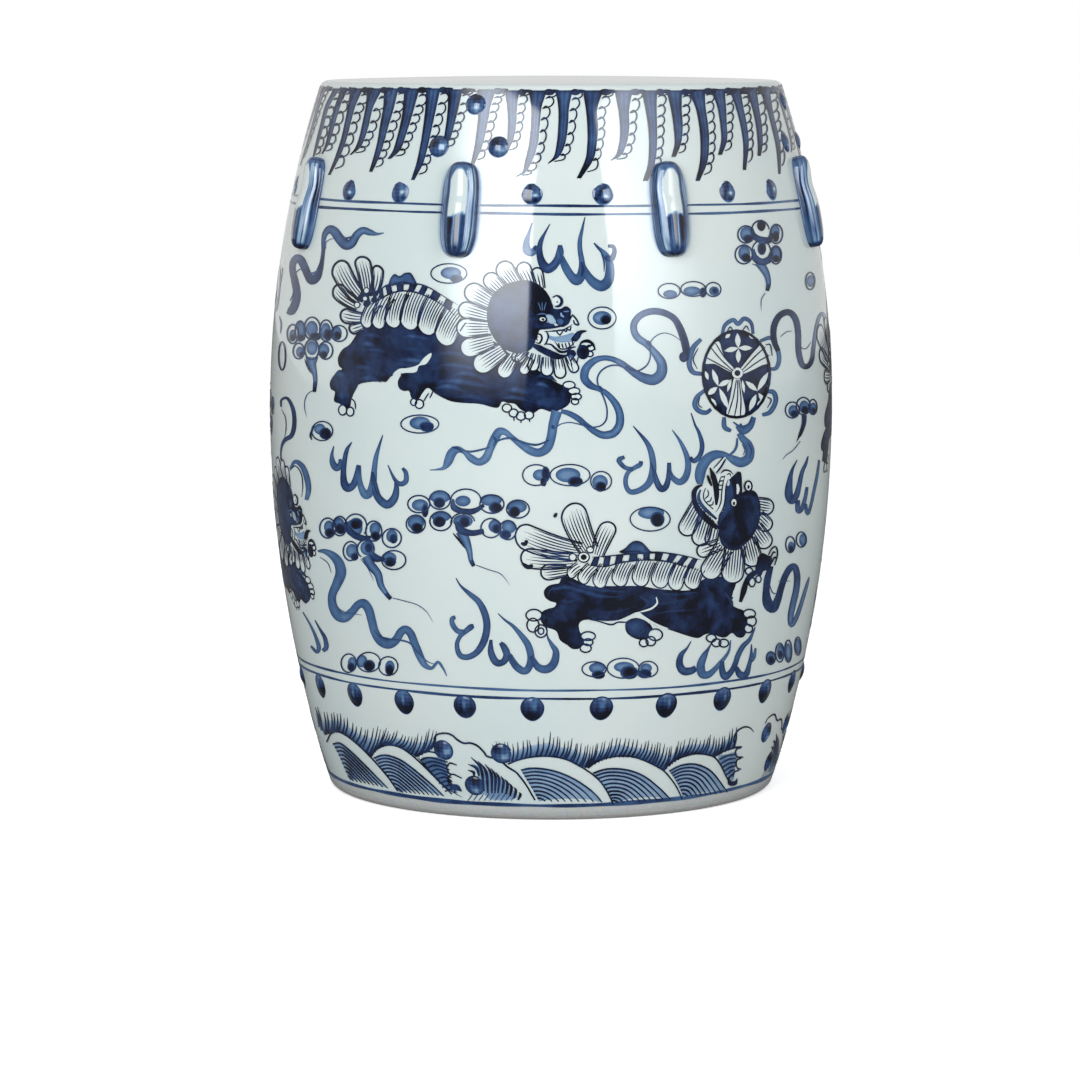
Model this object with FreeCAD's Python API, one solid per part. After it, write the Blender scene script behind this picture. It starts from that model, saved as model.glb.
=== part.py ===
import FreeCAD, Part
import math
import os
from FreeCAD import Vector

# Barrel-shaped ceramic garden stool, in millimetres. +Z is up, the floor is z = 0 and the
# barrel's axis is the Z axis. Azimuths are in degrees from the front (-Y) towards +X.

# The barrel's outer curve: one arc from the foot to the belly, one from the belly to the seat.
foot_radius = 143.0
belly_radius = 181.2
belly_height = 243.0
rim_radius = 146.6
seat_edge_height = 454.5

# Wall, seat and base
wall_thickness = 9.0
seat_thickness = 12.5
seat_crown = 2.5
seat_edge_rounding = 5.0
base_thickness = 9.5
base_edge_rounding = 4.0
vent_radius = 48.0

# Upright lugs luted on the shoulder, laid out by hand
lug_azimuths = (-64.2, -19.2, 25.6, 73.4, 116.2, 160.8, 206.0, 250.8)
lug_length = 57.0
lug_width = 22.0
lug_height = 8.2
lug_dip = 1.6
lug_dip_place = 0.38
lug_dip_spread = 0.28
lug_stations = (-0.995, -0.94, -0.8, -0.5, -0.1, 0.2, 0.4, 0.62, 0.82, 0.94, 0.995)

# Round bosses: a row above the shoulder line and a row under the line over the foot. A drop
# is measured down from the height of the seat's edge.
boss_pitch_deg = 15.0
boss_first_azimuth = -64.0
boss_diameter = 13.2
upper_boss_rise = 1.0
lower_boss_rise = 1.6
upper_boss_drop = 65.5
lower_boss_height = 73.8

# Beads in threes, four groups under the rim and four over the foot
rim_group_azimuths = (-18.6, 75.8, 163.0, 252.0)
foot_group_azimuths = (-18.3, 68.5, 161.0, 251.5)
bead_diameter = 12.6
bead_rise = 1.9
bead_spread_deg = 7.0
rim_pair_drop = 37.5
rim_single_drop = 12.0
rim_single_shift_deg = 1.0
bead_to_lug_gap = 3.7
foot_pair_height = 44.0
foot_single_height = 22.0

# How far a luted piece's blank starts below the glaze line before the barrel is cut from it
seat_depth = 3.0


def curve_radius(run, rise):
    """Radius of an arc that leaves the belly upright and moves in by rise over run."""
    return (run * run + rise * rise) / (2.0 * rise)


lower_curve = curve_radius(belly_height, belly_radius - foot_radius)
upper_curve = curve_radius(seat_edge_height - belly_height, belly_radius - rim_radius)
seat_joint_height = seat_edge_height - seat_thickness
crown_height = seat_edge_height + seat_crown
upper_boss_height = seat_edge_height - upper_boss_drop
rim_pair_height = seat_edge_height - rim_pair_drop
rim_single_height = seat_edge_height - rim_single_drop
lug_top = rim_pair_height - 0.5 * bead_diameter - bead_to_lug_gap
lug_centre_height = lug_top - 0.5 * lug_length


def side_radius(height, inset=0.0):
    """Radius of the barrel's side at a height, or of the surface lying inset under it."""
    curve = lower_curve if height < belly_height else upper_curve
    drop = height - belly_height
    return belly_radius - curve + math.sqrt((curve - inset) ** 2 - drop * drop)


def side_lean(height):
    """Angle in radians by which the outward normal tilts up from level at a height."""
    curve = lower_curve if height < belly_height else upper_curve
    return math.asin((height - belly_height) / curve)


def side_arc(low, high, inset=0.0):
    """The barrel's side as an arc in the XZ plane; both ends lie on one side of the belly."""
    heights = (low, 0.5 * (low + high), high)
    points = [Vector(side_radius(z, inset), 0, z) for z in heights]
    return Part.Arc(*points).toShape()


def turned(edges):
    """Solid of revolution about Z of a closed outline in the XZ plane."""
    outline = Part.Wire(Part.__sortEdges__(edges))
    return Part.Face(outline).revolve(Vector(0, 0, 0), Vector(0, 0, 1), 360)


def level_line(height, start, end):
    return Part.makeLine(Vector(start, 0, height), Vector(end, 0, height))


def wall_section(low, high):
    """A thrown ring of the wall between two heights, with flat ends for the luted joints."""
    bottom = level_line(low, side_radius(low, wall_thickness), side_radius(low))
    top = level_line(high, side_radius(high, wall_thickness), side_radius(high))
    outer = side_arc(low, high)
    inner = side_arc(low, high, wall_thickness)
    return turned([bottom, outer, top, inner])


def outer_edge(shape, height):
    """The widest round edge of a turned shape at a height."""
    level = [e for e in shape.Edges if max(abs(v.Z - height) for v in e.Vertexes) < 0.01]
    return max(level, key=lambda e: e.Length)


def seat_slab():
    """Thick round seat: flat underside, gently crowned top, softly rounded edge."""
    axis_low = Vector(0, 0, seat_joint_height)
    axis_high = Vector(0, 0, crown_height)
    crown_curve = curve_radius(rim_radius, seat_crown)
    half = 0.5 * rim_radius
    half_height = crown_height - crown_curve + math.sqrt(crown_curve ** 2 - half ** 2)
    edge = Vector(rim_radius, 0, seat_edge_height)
    crown = Part.Arc(axis_high, Vector(half, 0, half_height), edge).toShape()
    underside = level_line(seat_joint_height, 0, side_radius(seat_joint_height))
    side = side_arc(seat_joint_height, seat_edge_height)
    slab = turned([underside, side, crown, Part.makeLine(axis_high, axis_low)])
    return slab.makeFillet(seat_edge_rounding, [outer_edge(slab, seat_edge_height)])


def base_slab():
    """Flat foot slab that the wall stands on, with a round vent into the hollow barrel."""
    floor_line = level_line(0, vent_radius, foot_radius)
    top_line = level_line(base_thickness, vent_radius, side_radius(base_thickness))
    vent = Part.makeLine(Vector(vent_radius, 0, 0), Vector(vent_radius, 0, base_thickness))
    slab = turned([floor_line, side_arc(0, base_thickness), top_line, vent])
    return slab.makeFillet(base_edge_rounding, [outer_edge(slab, 0)])


def barrel_blank():
    """The whole outer form without openings, which shapes the backs of luted pieces."""
    low = side_arc(0, belly_height)
    high = side_arc(belly_height, seat_edge_height)
    floor_line = level_line(0, 0, foot_radius)
    top_line = level_line(seat_edge_height, 0, rim_radius)
    axis = Part.makeLine(Vector(0, 0, 0), Vector(0, 0, seat_edge_height))
    return turned([floor_line, low, high, top_line, axis])


def luted_on(blank_piece, azimuth):
    """A piece modelled over +X, swung to its azimuth."""
    piece = blank_piece.copy()
    piece.rotate(Vector(0, 0, 0), Vector(0, 0, 1), azimuth - 90.0)
    return piece


def lug_section(station):
    """Closed section across a lug: half an ellipse over the wall, a stem into it."""
    taper = (1.0 - abs(station) ** 3.2) ** (1.0 / 3.2)
    ledge = (1.0 - abs(station) ** 5.0) ** (1.0 / 5.0)
    from_dip = (station - lug_dip_place) / lug_dip_spread
    ridge = (lug_height - lug_dip * math.exp(-from_dip * from_dip)) * ledge
    half_width = 0.5 * lug_width * taper
    height = lug_centre_height + 0.5 * lug_length * station
    lean = side_lean(height)
    out = Vector(math.cos(lean), 0, math.sin(lean))
    along = Vector(-math.sin(lean), 0, math.cos(lean))
    seat = Vector(side_radius(height), 0, height)
    across = Vector(0, 1, 0)
    frame = FreeCAD.Placement(seat, FreeCAD.Rotation(across, out, across.cross(out)))
    bow = Part.Ellipse(Vector(0, 0, 0), half_width, min(ridge, 0.98 * half_width))
    bow = bow.toShape(0, math.pi)
    bow.Placement = frame
    right = seat + across * half_width
    left = seat - across * half_width
    sink = out * -seat_depth
    stem = [Part.makeLine(left, left + sink), Part.makeLine(left + sink, right + sink),
            Part.makeLine(right + sink, right)]
    return Part.Wire([bow] + stem)


def lug(barrel):
    """Upright pod with a steep top ledge and a shallow dip, its back fitted to the wall."""
    blank = Part.makeLoft([lug_section(s) for s in lug_stations], True, False)
    return blank.cut(barrel)


def cap(barrel, height, diameter, rise):
    """Low round cap standing rise above the wall, its back fitted to the wall."""
    ball_radius = curve_radius(0.5 * diameter, rise)
    lean = side_lean(height)
    out = Vector(math.cos(lean), 0, math.sin(lean))
    centre = Vector(side_radius(height), 0, height) + out * (rise - ball_radius)
    ball = Part.makeSphere(ball_radius, centre, out)
    return ball.cut(barrel)


def bead_group(pair_cap, single_cap, azimuth, single_shift):
    """Three beads: a level pair and a single one over or under the middle."""
    left = luted_on(pair_cap, azimuth - bead_spread_deg)
    right = luted_on(pair_cap, azimuth + bead_spread_deg)
    single = luted_on(single_cap, azimuth + single_shift)
    return Part.makeCompound([left, right, single])


def boss_azimuths(skip_lugs):
    """Azimuths of a boss row: every step, or only the steps between the lugs."""
    steps = int(round(360.0 / boss_pitch_deg))
    per_lug = steps // len(lug_azimuths)
    kept = [n for n in range(steps) if not (skip_lugs and n % per_lug == 0)]
    return [boss_first_azimuth + n * boss_pitch_deg for n in kept]


def build():
    """All the stool's pieces by name."""
    barrel = barrel_blank()
    pieces = {
        "base_slab": base_slab(),
        "lower_wall": wall_section(base_thickness, belly_height),
        "upper_wall": wall_section(belly_height, seat_joint_height),
        "seat_slab": seat_slab(),
    }
    one_lug = lug(barrel)
    for number, azimuth in enumerate(lug_azimuths, 1):
        pieces[f"lug_{number}"] = luted_on(one_lug, azimuth)
    upper = cap(barrel, upper_boss_height, boss_diameter, upper_boss_rise)
    for number, azimuth in enumerate(boss_azimuths(True), 1):
        pieces[f"upper_boss_{number:02d}"] = luted_on(upper, azimuth)
    lower = cap(barrel, lower_boss_height, boss_diameter, lower_boss_rise)
    for number, azimuth in enumerate(boss_azimuths(False), 1):
        pieces[f"lower_boss_{number:02d}"] = luted_on(lower, azimuth)
    rim_pair = cap(barrel, rim_pair_height, bead_diameter, bead_rise)
    rim_single = cap(barrel, rim_single_height, bead_diameter, bead_rise)
    foot_pair = cap(barrel, foot_pair_height, bead_diameter, bead_rise)
    foot_single = cap(barrel, foot_single_height, bead_diameter, bead_rise)
    for number, azimuth in enumerate(rim_group_azimuths, 1):
        group = bead_group(rim_pair, rim_single, azimuth, rim_single_shift_deg)
        pieces[f"rim_beads_{number}"] = group
    for number, azimuth in enumerate(foot_group_azimuths, 1):
        group = bead_group(foot_pair, foot_single, azimuth, 0.0)
        pieces[f"foot_beads_{number}"] = group
    return pieces


os.makedirs("parts", exist_ok=True)
for name, shape in build().items():
    shape.exportStep(os.path.join("parts", name + ".step"))
    print(name, shape.isValid(), len(shape.Solids), round(shape.Volume, 1))
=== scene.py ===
import math
import random

import bmesh
import bpy
import numpy as np
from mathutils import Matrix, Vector
from mathutils.geometry import delaunay_2d_cdt


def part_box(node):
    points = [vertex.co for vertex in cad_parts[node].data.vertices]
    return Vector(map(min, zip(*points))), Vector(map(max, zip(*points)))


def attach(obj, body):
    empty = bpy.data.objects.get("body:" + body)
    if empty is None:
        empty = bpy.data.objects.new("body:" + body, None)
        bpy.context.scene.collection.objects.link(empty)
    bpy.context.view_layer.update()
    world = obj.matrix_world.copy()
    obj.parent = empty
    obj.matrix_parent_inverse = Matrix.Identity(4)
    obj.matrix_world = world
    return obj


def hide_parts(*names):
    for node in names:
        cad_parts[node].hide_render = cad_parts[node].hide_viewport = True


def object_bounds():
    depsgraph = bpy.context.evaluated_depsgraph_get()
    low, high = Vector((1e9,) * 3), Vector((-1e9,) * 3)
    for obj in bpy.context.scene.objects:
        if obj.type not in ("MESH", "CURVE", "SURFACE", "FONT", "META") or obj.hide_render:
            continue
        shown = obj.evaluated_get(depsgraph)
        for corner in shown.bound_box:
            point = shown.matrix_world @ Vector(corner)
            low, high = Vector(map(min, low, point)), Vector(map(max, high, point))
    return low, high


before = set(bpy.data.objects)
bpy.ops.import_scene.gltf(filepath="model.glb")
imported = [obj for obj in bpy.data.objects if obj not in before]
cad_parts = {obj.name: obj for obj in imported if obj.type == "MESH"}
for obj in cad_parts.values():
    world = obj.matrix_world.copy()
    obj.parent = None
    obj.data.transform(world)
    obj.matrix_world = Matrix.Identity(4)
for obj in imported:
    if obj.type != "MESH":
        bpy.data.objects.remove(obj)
cad_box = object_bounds()
random.seed(11)

# The barrel's outer form, in metres, as the frame holds it
FOOT_RADIUS = 0.143
BELLY_RADIUS = 0.1812
BELLY_HEIGHT = 0.243
RIM_RADIUS = 0.1466
SEAT_EDGE = 0.4545
CROWN = cad_box[1][2]
JOINT_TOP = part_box("seat_slab")[0][2]
FOOT_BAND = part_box("base_slab")[1][2]
WALL = 0.009
RIM_ROUND = 0.00345
FOOT_ROUND = 0.0045
VENT_RADIUS = 0.048
AXIS_GAP = 0.0005
LATHE_STEPS = 240

# Lugs, bosses and beads: azimuths in degrees from the front, sizes and rows in metres
LUG_AZIMUTHS = (-64.2, -19.2, 25.6, 73.4, 116.2, 160.8, 206.0, 250.8)
LUG_CENTRE = 0.5 * (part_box("lug_1")[0][2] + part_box("lug_1")[1][2])
LUG_LENGTH = 0.057
LUG_WIDTH = 0.022
LUG_HEIGHT = 0.0082
LUG_DIP = 0.0016
FIRST_BOSS = -64.0
BOSS_PITCH = 15.0
BOSS_WIDTH = 0.0132
UPPER_BOSS_ROW = 0.389
UPPER_BOSS_RISE = 0.0010
LOWER_BOSS_ROW = 0.0738
LOWER_BOSS_RISE = 0.0016
BEAD_WIDTH = 0.0126
BEAD_RISE = 0.0019
RIM_GROUPS = (-18.6, 75.8, 163.0, 252.0)
FOOT_GROUPS = (-18.3, 68.5, 161.0, 251.5)

# The camera, which also lays the painting on the barrel
PICTURE = 1080.0
FOCAL = 4348.0
CAMERA_DISTANCE = 2.8
CAMERA_HEIGHT = 0.5022
CAMERA_PITCH = math.radians(7.01)
AXIS_COLUMN = 551.0

# The paint's layers, each a little above the one before, and the radius in mm that unrolls it
FIRST_LIFT = 40e-6
LAYER_LIFT = 40e-6
STROKE_LIFT = 2.5e-6
FLAT_RADIUS = 170.0
STROKES_PER_LAYER = 16
WASH_LIFT = 30e-6
RELIEF_LIFT = 40e-6
BAND_TILT = 0.0063

# The painting on a lug: lugs whose pattern is turned round, and streaks of (place, width, ink), the dark
# ones brush streaks and the pale ones painted reflections
MIRRORED_LUGS = (3, 4, 8)
LUG_STREAKS_AND_GLINTS = ((-0.40, 0.11, 1.0), (-0.17, 0.05, 0.10), (0.02, 0.10, 1.0), (0.20, 0.045, 0.34),
               (0.36, 0.07, 0.72))

# Glaze, cobalt by the strength of its ink, clay by its height with painted shade that darkens the foot, and
# the floor's paper
GLAZE_COOL = (0.440, 0.490, 0.475)
GLAZE_WARM = (0.475, 0.512, 0.485)
SPECK = (0.12, 0.085, 0.06, 1.0)
GLOSS = 0.07
GLASS_IOR = 1.58
COBALT_TONES = [(0.0, (1.0, 1.0, 1.0)), (0.25, (0.36, 0.49, 0.72)), (0.5, (0.105, 0.200, 0.405)),
                (0.75, (0.030, 0.066, 0.190)), (0.95, (0.008, 0.015, 0.056)), (1.0, (0.004, 0.006, 0.016))]
# Clay tones by height: the bare foot darkened all over as painted shade, darkest just above the floor
CLAY_AND_SHADE_TONES = [(0.0, (0.29, 0.28, 0.26)), (0.10, (0.26, 0.25, 0.23)), (0.28, (0.29, 0.285, 0.27)),
              (0.5, (0.31, 0.315, 0.30)), (0.8, (0.34, 0.345, 0.33)), (1.0, (0.36, 0.365, 0.35))]
PAPER_SEEN = (0.93, 0.93, 0.93, 1.0)
PAPER_AS_LIGHT = (0.84, 0.84, 0.84, 1.0)
PAPER_IN_GLAZE = (0.10, 0.10, 0.10, 1.0)

# The lamps, which stand on a circle round the stool
LAMP_TALL = 1.62
LAMP_ELEVATION = 18.0
LAMP_DISTANCE = 2.4
LAMP_TARGET = 0.25


def arc_radius(run, rise):
    """Radius of an arc that rises so far over half its chord."""
    return (run * run + rise * rise) / (2.0 * rise)


LOWER_CURVE = arc_radius(BELLY_HEIGHT, BELLY_RADIUS - FOOT_RADIUS)
UPPER_CURVE = arc_radius(SEAT_EDGE - BELLY_HEIGHT, BELLY_RADIUS - RIM_RADIUS)


def side_radius(height):
    """The barrel's radius at a height."""
    curve = np.where(height < BELLY_HEIGHT, LOWER_CURVE, UPPER_CURVE)
    drop = height - BELLY_HEIGHT
    return BELLY_RADIUS - curve + np.sqrt(curve * curve - drop * drop)


def side_lean(height):
    """How far the side's outward normal leans up, in radians."""
    curve = np.where(height < BELLY_HEIGHT, LOWER_CURVE, UPPER_CURVE)
    return np.arcsin(np.clip((height - BELLY_HEIGHT) / curve, -1.0, 1.0))


def on_side(azimuth, height, lift=0.0):
    """Points and outward normals of the barrel's side, azimuth 0 at the front."""
    lean = side_lean(height)
    radius = side_radius(height) + lift * np.cos(lean)
    points = np.stack([radius * np.sin(azimuth), -radius * np.cos(azimuth),
                       height + lift * np.sin(lean)], -1)
    level = np.cos(lean)
    normals = np.stack([level * np.sin(azimuth), -level * np.cos(azimuth), np.sin(lean)], -1)
    return points, normals


def make_camera():
    lens = bpy.data.cameras.new("camera")
    lens.sensor_width = 36.0
    lens.lens = FOCAL / PICTURE * lens.sensor_width
    camera = bpy.data.objects.new("camera", lens)
    bpy.context.collection.objects.link(camera)
    turn = math.atan((AXIS_COLUMN - PICTURE / 2.0) / FOCAL)
    camera.location = (0.0, -CAMERA_DISTANCE, CAMERA_HEIGHT)
    camera.rotation_euler = (math.pi / 2.0 - CAMERA_PITCH, 0.0, turn)
    bpy.context.scene.camera = camera
    return camera


camera = make_camera()
LOOK = np.array(camera.rotation_euler.to_matrix())
EYE = np.array(camera.location)


def lay(pixels):
    """Azimuth and height on the barrel of points given in the photograph's frame."""
    pixels = np.asarray(pixels, float)
    flat = np.stack([(pixels[:, 0] - PICTURE / 2.0) / FOCAL,
                     (PICTURE / 2.0 - pixels[:, 1]) / FOCAL, -np.ones(len(pixels))], -1)
    rays = flat @ LOOK.T
    a = rays[:, 0] ** 2 + rays[:, 1] ** 2
    b = rays[:, 0] * EYE[0] + rays[:, 1] * EYE[1]
    height = np.full(len(pixels), BELLY_HEIGHT)
    for _ in range(12):
        radius = side_radius(np.clip(height, 0.0, SEAT_EDGE))
        c = EYE[0] ** 2 + EYE[1] ** 2 - radius ** 2
        reach = (-b - np.sqrt(np.maximum(b * b - a * c, 0.0))) / a
        height = EYE[2] + reach * rays[:, 2]
    hits = EYE + reach[:, None] * rays
    return np.arctan2(hits[:, 0], -hits[:, 1]), hits[:, 2]


def smooth(points, closed=False, per_span=6):
    """Catmull-Rom curve through points."""
    p = np.asarray(points, float)
    if len(p) < 3 and not closed:
        t = np.linspace(0.0, 1.0, per_span + 1)[:, None]
        return p[0] * (1.0 - t) + p[-1] * t
    if closed:
        p = np.vstack([p[-1], p, p[0], p[1]])
    else:
        p = np.vstack([2.0 * p[0] - p[1], p, 2.0 * p[-1] - p[-2]])
    t = np.linspace(0.0, 1.0, per_span, endpoint=False)[:, None]
    spans = []
    for i in range(len(p) - 3):
        a, b, c, d = p[i:i + 4]
        spans.append(0.5 * (2.0 * b + (c - a) * t + (2.0 * a - 5.0 * b + 4.0 * c - d) * t ** 2
                            + (3.0 * b - a - 3.0 * c + d) * t ** 3))
    if not closed:
        spans.append(p[-2:-1])
    return np.vstack(spans)


class Sheet:
    """Painting on the barrel: flat strokes that share a mesh, each point with its ink."""

    def __init__(self, name):
        self.name = name
        self.azimuth = []
        self.height = []
        self.lift = []
        self.ink = []
        self.faces = []
        self.count = 0
        self.strokes = 0

    def level(self, layer):
        self.strokes += 1
        return FIRST_LIFT + layer * LAYER_LIFT + (self.strokes % STROKES_PER_LAYER) * STROKE_LIFT

    def add(self, azimuth, height, ink, faces, layer):
        lift = self.level(layer)
        self.azimuth.append(np.ravel(azimuth))
        self.height.append(np.ravel(height))
        self.ink.append(np.ravel(ink))
        self.lift.append(np.full(np.size(azimuth), lift))
        self.faces += [tuple(i + self.count for i in face) for face in faces]
        self.count += np.size(azimuth)

    def band(self, azimuth, height, ink, layer):
        """A grid of points, rows along the stroke."""
        rows, columns = np.shape(azimuth)
        faces = []
        for r in range(rows - 1):
            for c in range(columns - 1):
                i = r * columns + c
                faces.append((i, i + columns, i + columns + 1, i + 1))
        self.add(azimuth, height, ink, faces, layer)

    def brush(self, points, width, ink, layer=6, start=0.35, end=0.25, closed=False,
              per_span=5, edge=None, columns=2):
        """A brush line; widths are as seen in the photograph, ends drawn out to a share."""
        points = np.asarray(points, float)
        path = smooth(points, closed, per_span)
        if closed:
            path = np.vstack([path, path[:1]])
        t = np.linspace(0.0, 1.0, len(path))
        if path.shape[1] > 2:
            widths = np.maximum(path[:, 2], 0.6)
            path = path[:, :2]
        else:
            widths = np.interp(t, np.linspace(0.0, 1.0, np.size(width)), np.atleast_1d(width))
        along = np.gradient(path, axis=0)
        if closed:
            along[0] = along[-1] = path[1] - path[-2]
        along /= np.linalg.norm(along, axis=1)[:, None] + 1e-12
        across = np.stack([-along[:, 1], along[:, 0]], -1)
        swell = np.ones(len(path))
        if not closed:
            swell = np.minimum(1.0, start + (1.0 - start) * t / 0.25)
            swell = np.minimum(swell, end + (1.0 - end) * (1.0 - t) / 0.3)
        half = 0.5 * widths * swell
        inks = np.interp(t, np.linspace(0.0, 1.0, np.size(ink)), np.atleast_1d(ink))
        shares = np.linspace(-1.0, 1.0, columns)
        spots = path[:, None, :] + across[:, None, :] * (half[:, None] * shares)[:, :, None]
        grid_ink = np.repeat(inks[:, None], columns, 1)
        if edge is not None:
            grid_ink = grid_ink + (edge - grid_ink) * np.abs(shares) ** 1.5
        azimuth, height = lay(spots.reshape(-1, 2))
        shape = (len(path), columns)
        self.band(azimuth.reshape(shape), height.reshape(shape), grid_ink, layer)

    def wash(self, outline, rim, middle, layer=2, depth=2.2, spacing=1.8, per_span=5, sharp=False):
        """A filled shape; the ink runs from rim to middle over a depth in mm."""
        edge = np.asarray(outline, float) if sharp else smooth(outline, True, per_span)
        azimuth, height = lay(edge)
        flat = np.stack([azimuth * FLAT_RADIUS, height * 1000.0], -1)
        low, high = flat.min(0), flat.max(0)
        xs = np.arange(low[0], high[0], spacing)
        ys = np.arange(low[1], high[1], spacing)
        gx, gy = np.meshgrid(xs, ys)
        gx = gx + (np.arange(len(ys)) % 2)[:, None] * spacing * 0.5
        inner = np.stack([gx.ravel(), gy.ravel()], -1)
        gap = self.gap(inner, flat)
        inner = inner[gap > spacing * 0.55]
        points = [Vector(p) for p in flat] + [Vector(p) for p in inner]
        loop = [list(range(len(flat)))]
        verts, _, faces, _, _, _ = delaunay_2d_cdt(points, [], loop, 1, 1e-6)
        if not faces:
            return
        spots = np.array([(v.x, v.y) for v in verts])
        gap = self.gap(spots, flat)
        share = np.clip(gap / depth, 0.0, 1.0)
        ink = rim + (middle - rim) * share
        faces = [tuple(f) for f in faces]
        self.add(spots[:, 0] / FLAT_RADIUS, spots[:, 1] / 1000.0, ink, faces, layer)

    @staticmethod
    def gap(points, edge):
        """Shortest distance from points to a closed edge."""
        span = np.roll(edge, -1, 0) - edge
        length = (span ** 2).sum(1) + 1e-12
        gap = np.full(len(points), 1e9)
        for s, d, n in zip(edge, span, length):
            t = np.clip(((points - s) @ d) / n, 0.0, 1.0)
            gap = np.minimum(gap, np.hypot(*(points - s - t[:, None] * d).T))
        return gap

    def build(self, body, material, places, suffix="", keep=None):
        """The sheet as one object, laid round the barrel at each place (turn, stretch, from, drop).

        keep is the span of azimuths, and of heights if given, whose strokes are taken along.
        """
        azimuth = np.concatenate(self.azimuth)
        height = np.concatenate(self.height)
        lift = np.concatenate(self.lift)
        ink = np.concatenate(self.ink)
        used = self.faces
        if keep is not None:
            middle = np.concatenate([np.full(len(a), np.mean(a)) for a in self.azimuth])
            taken = (middle > keep[0]) & (middle < keep[1])
            if len(keep) > 2:
                rise = np.concatenate([np.full(len(h), np.mean(h)) for h in self.height])
                taken = taken & (rise > keep[2]) & (rise < keep[3])
            number = np.cumsum(taken) - 1
            used = [tuple(int(number[i]) for i in face) for face in self.faces if taken[face[0]]]
            if not used:
                return None
            azimuth, height, lift, ink = azimuth[taken], height[taken], lift[taken], ink[taken]
        points = []
        normals = []
        spots = []
        faces = []
        flat = np.stack([azimuth, height], -1)
        flat = (flat - flat.min(0)) / np.maximum(np.ptp(flat, axis=0), 1e-9)
        for n, (turn, stretch, anchor, *drop) in enumerate(places):
            swung = anchor + (azimuth - anchor) * stretch + turn
            spot, normal = on_side(swung, height + sum(drop), lift)
            points.append(spot)
            normals.append(normal)
            spots.append(np.stack([flat[:, 0], (flat[:, 1] + n * 1.03) / len(places)], -1))
            faces += [tuple(i + n * len(azimuth) for i in face) for face in used]
        normals = np.concatenate(normals)
        piece = make_piece(self.name + suffix, np.concatenate(points), faces, normals,
                           np.concatenate(spots), material, np.tile(ink, len(places)))
        piece.data.normals_split_custom_set_from_vertices(normals.tolist())
        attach(piece, body)
        return piece


def face_up(mesh, normals):
    """Turns every face outward and shades it smooth."""
    bm = bmesh.new()
    bm.from_mesh(mesh)
    bm.faces.ensure_lookup_table()
    bm.verts.ensure_lookup_table()
    flipped = []
    for face in bm.faces:
        out = Vector(normals[face.verts[0].index])
        face.normal_update()
        if face.normal.dot(out) < 0.0:
            flipped.append(face)
        face.smooth = True
    for face in flipped:
        face.normal_flip()
    bm.to_mesh(mesh)
    bm.free()


def unwrap(mesh, spots):
    """A map named OFBake: the sheet unrolled into the unit square."""
    low = spots.min(0)
    size = np.maximum(spots.max(0) - low, 1e-9)
    flat = 0.02 + 0.96 * (spots - low) / size
    corners = np.zeros(len(mesh.loops), dtype=np.int32)
    mesh.loops.foreach_get("vertex_index", corners)
    layer = mesh.uv_layers.new(name="OFBake")
    layer.data.foreach_set("uv", flat[corners].astype(np.float32).ravel())


def make_piece(name, points, faces, outward, spots, material, ink=None):
    """An object from points and faces, with its map and, if it is painted, its ink."""
    mesh = bpy.data.meshes.new(name)
    mesh.from_pydata(points.tolist(), [], faces)
    face_up(mesh, outward)
    if ink is not None:
        layer = mesh.attributes.new("ink", "FLOAT", "POINT")
        layer.data.foreach_set("value", ink.astype(np.float32))
    unwrap(mesh, spots)
    mesh.materials.append(material)
    piece = bpy.data.objects.new(name, mesh)
    bpy.context.collection.objects.link(piece)
    return piece


def petal(lines, fills, base, tip, half, hatch=5, bow=0.0, reach=0.92, width=1.75, ink=0.95,
          layer=6, root=0.75):
    """A lobe of mane or tail: bare inside, outlined, with fine lines from its root."""
    base = np.array(base, float)
    tip = np.array(tip, float)
    axis = tip - base
    length = np.hypot(*axis)
    side = np.array([-axis[1], axis[0]]) / length

    def spot(t, c):
        t = np.asarray(t, float)
        c = np.asarray(c, float)
        bend = bow * 4.0 * t * (1.0 - t)
        return base + axis * t[:, None] + side * (bend + c)[:, None]

    def girth(t):
        grown = root + (1.0 - root) * np.sin(np.minimum(t / 0.75, 1.0) * math.pi / 2.0)
        cap = half / length
        near = np.clip((t - (1.0 - cap)) / cap, 0.0, 1.0)
        return half * grown * np.sqrt(np.maximum(1.0 - near ** 2, 0.0))

    t = np.concatenate([np.linspace(0.0, 1.0 - half / length, 5),
                        1.0 - half / length * (1.0 - np.sin(np.linspace(0.25, 1.0, 4) * math.pi / 2))])
    t = np.clip(t, 0.0, 1.0)
    up = spot(t, girth(t))
    down = spot(t[::-1], -girth(t[::-1]))
    outline = np.vstack([up, down[1:]])
    fills.wash(outline, 0.0, 0.0, layer=layer - 1, spacing=6.0, sharp=True)
    lines.brush(outline, width, ink, layer=layer + 1, per_span=2, start=0.8, end=0.8)
    hatch = max(2, min(hatch + 2, int(2.0 * half * (0.4 + 0.6 * root) / 2.55)))
    for k in range(hatch):
        share = (k + 0.6) / (hatch + 0.2) * 2.0 - 1.0
        stop = reach * (1.0 - 0.16 * share * share) + random.uniform(-0.09, 0.03)
        u = np.linspace(0.0, stop, 5)
        lines.brush(spot(u, share * girth(u)), [1.05, 1.35, 1.05], ink - 0.05, layer=layer,
                    per_span=2, start=0.9, end=0.15)


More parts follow.
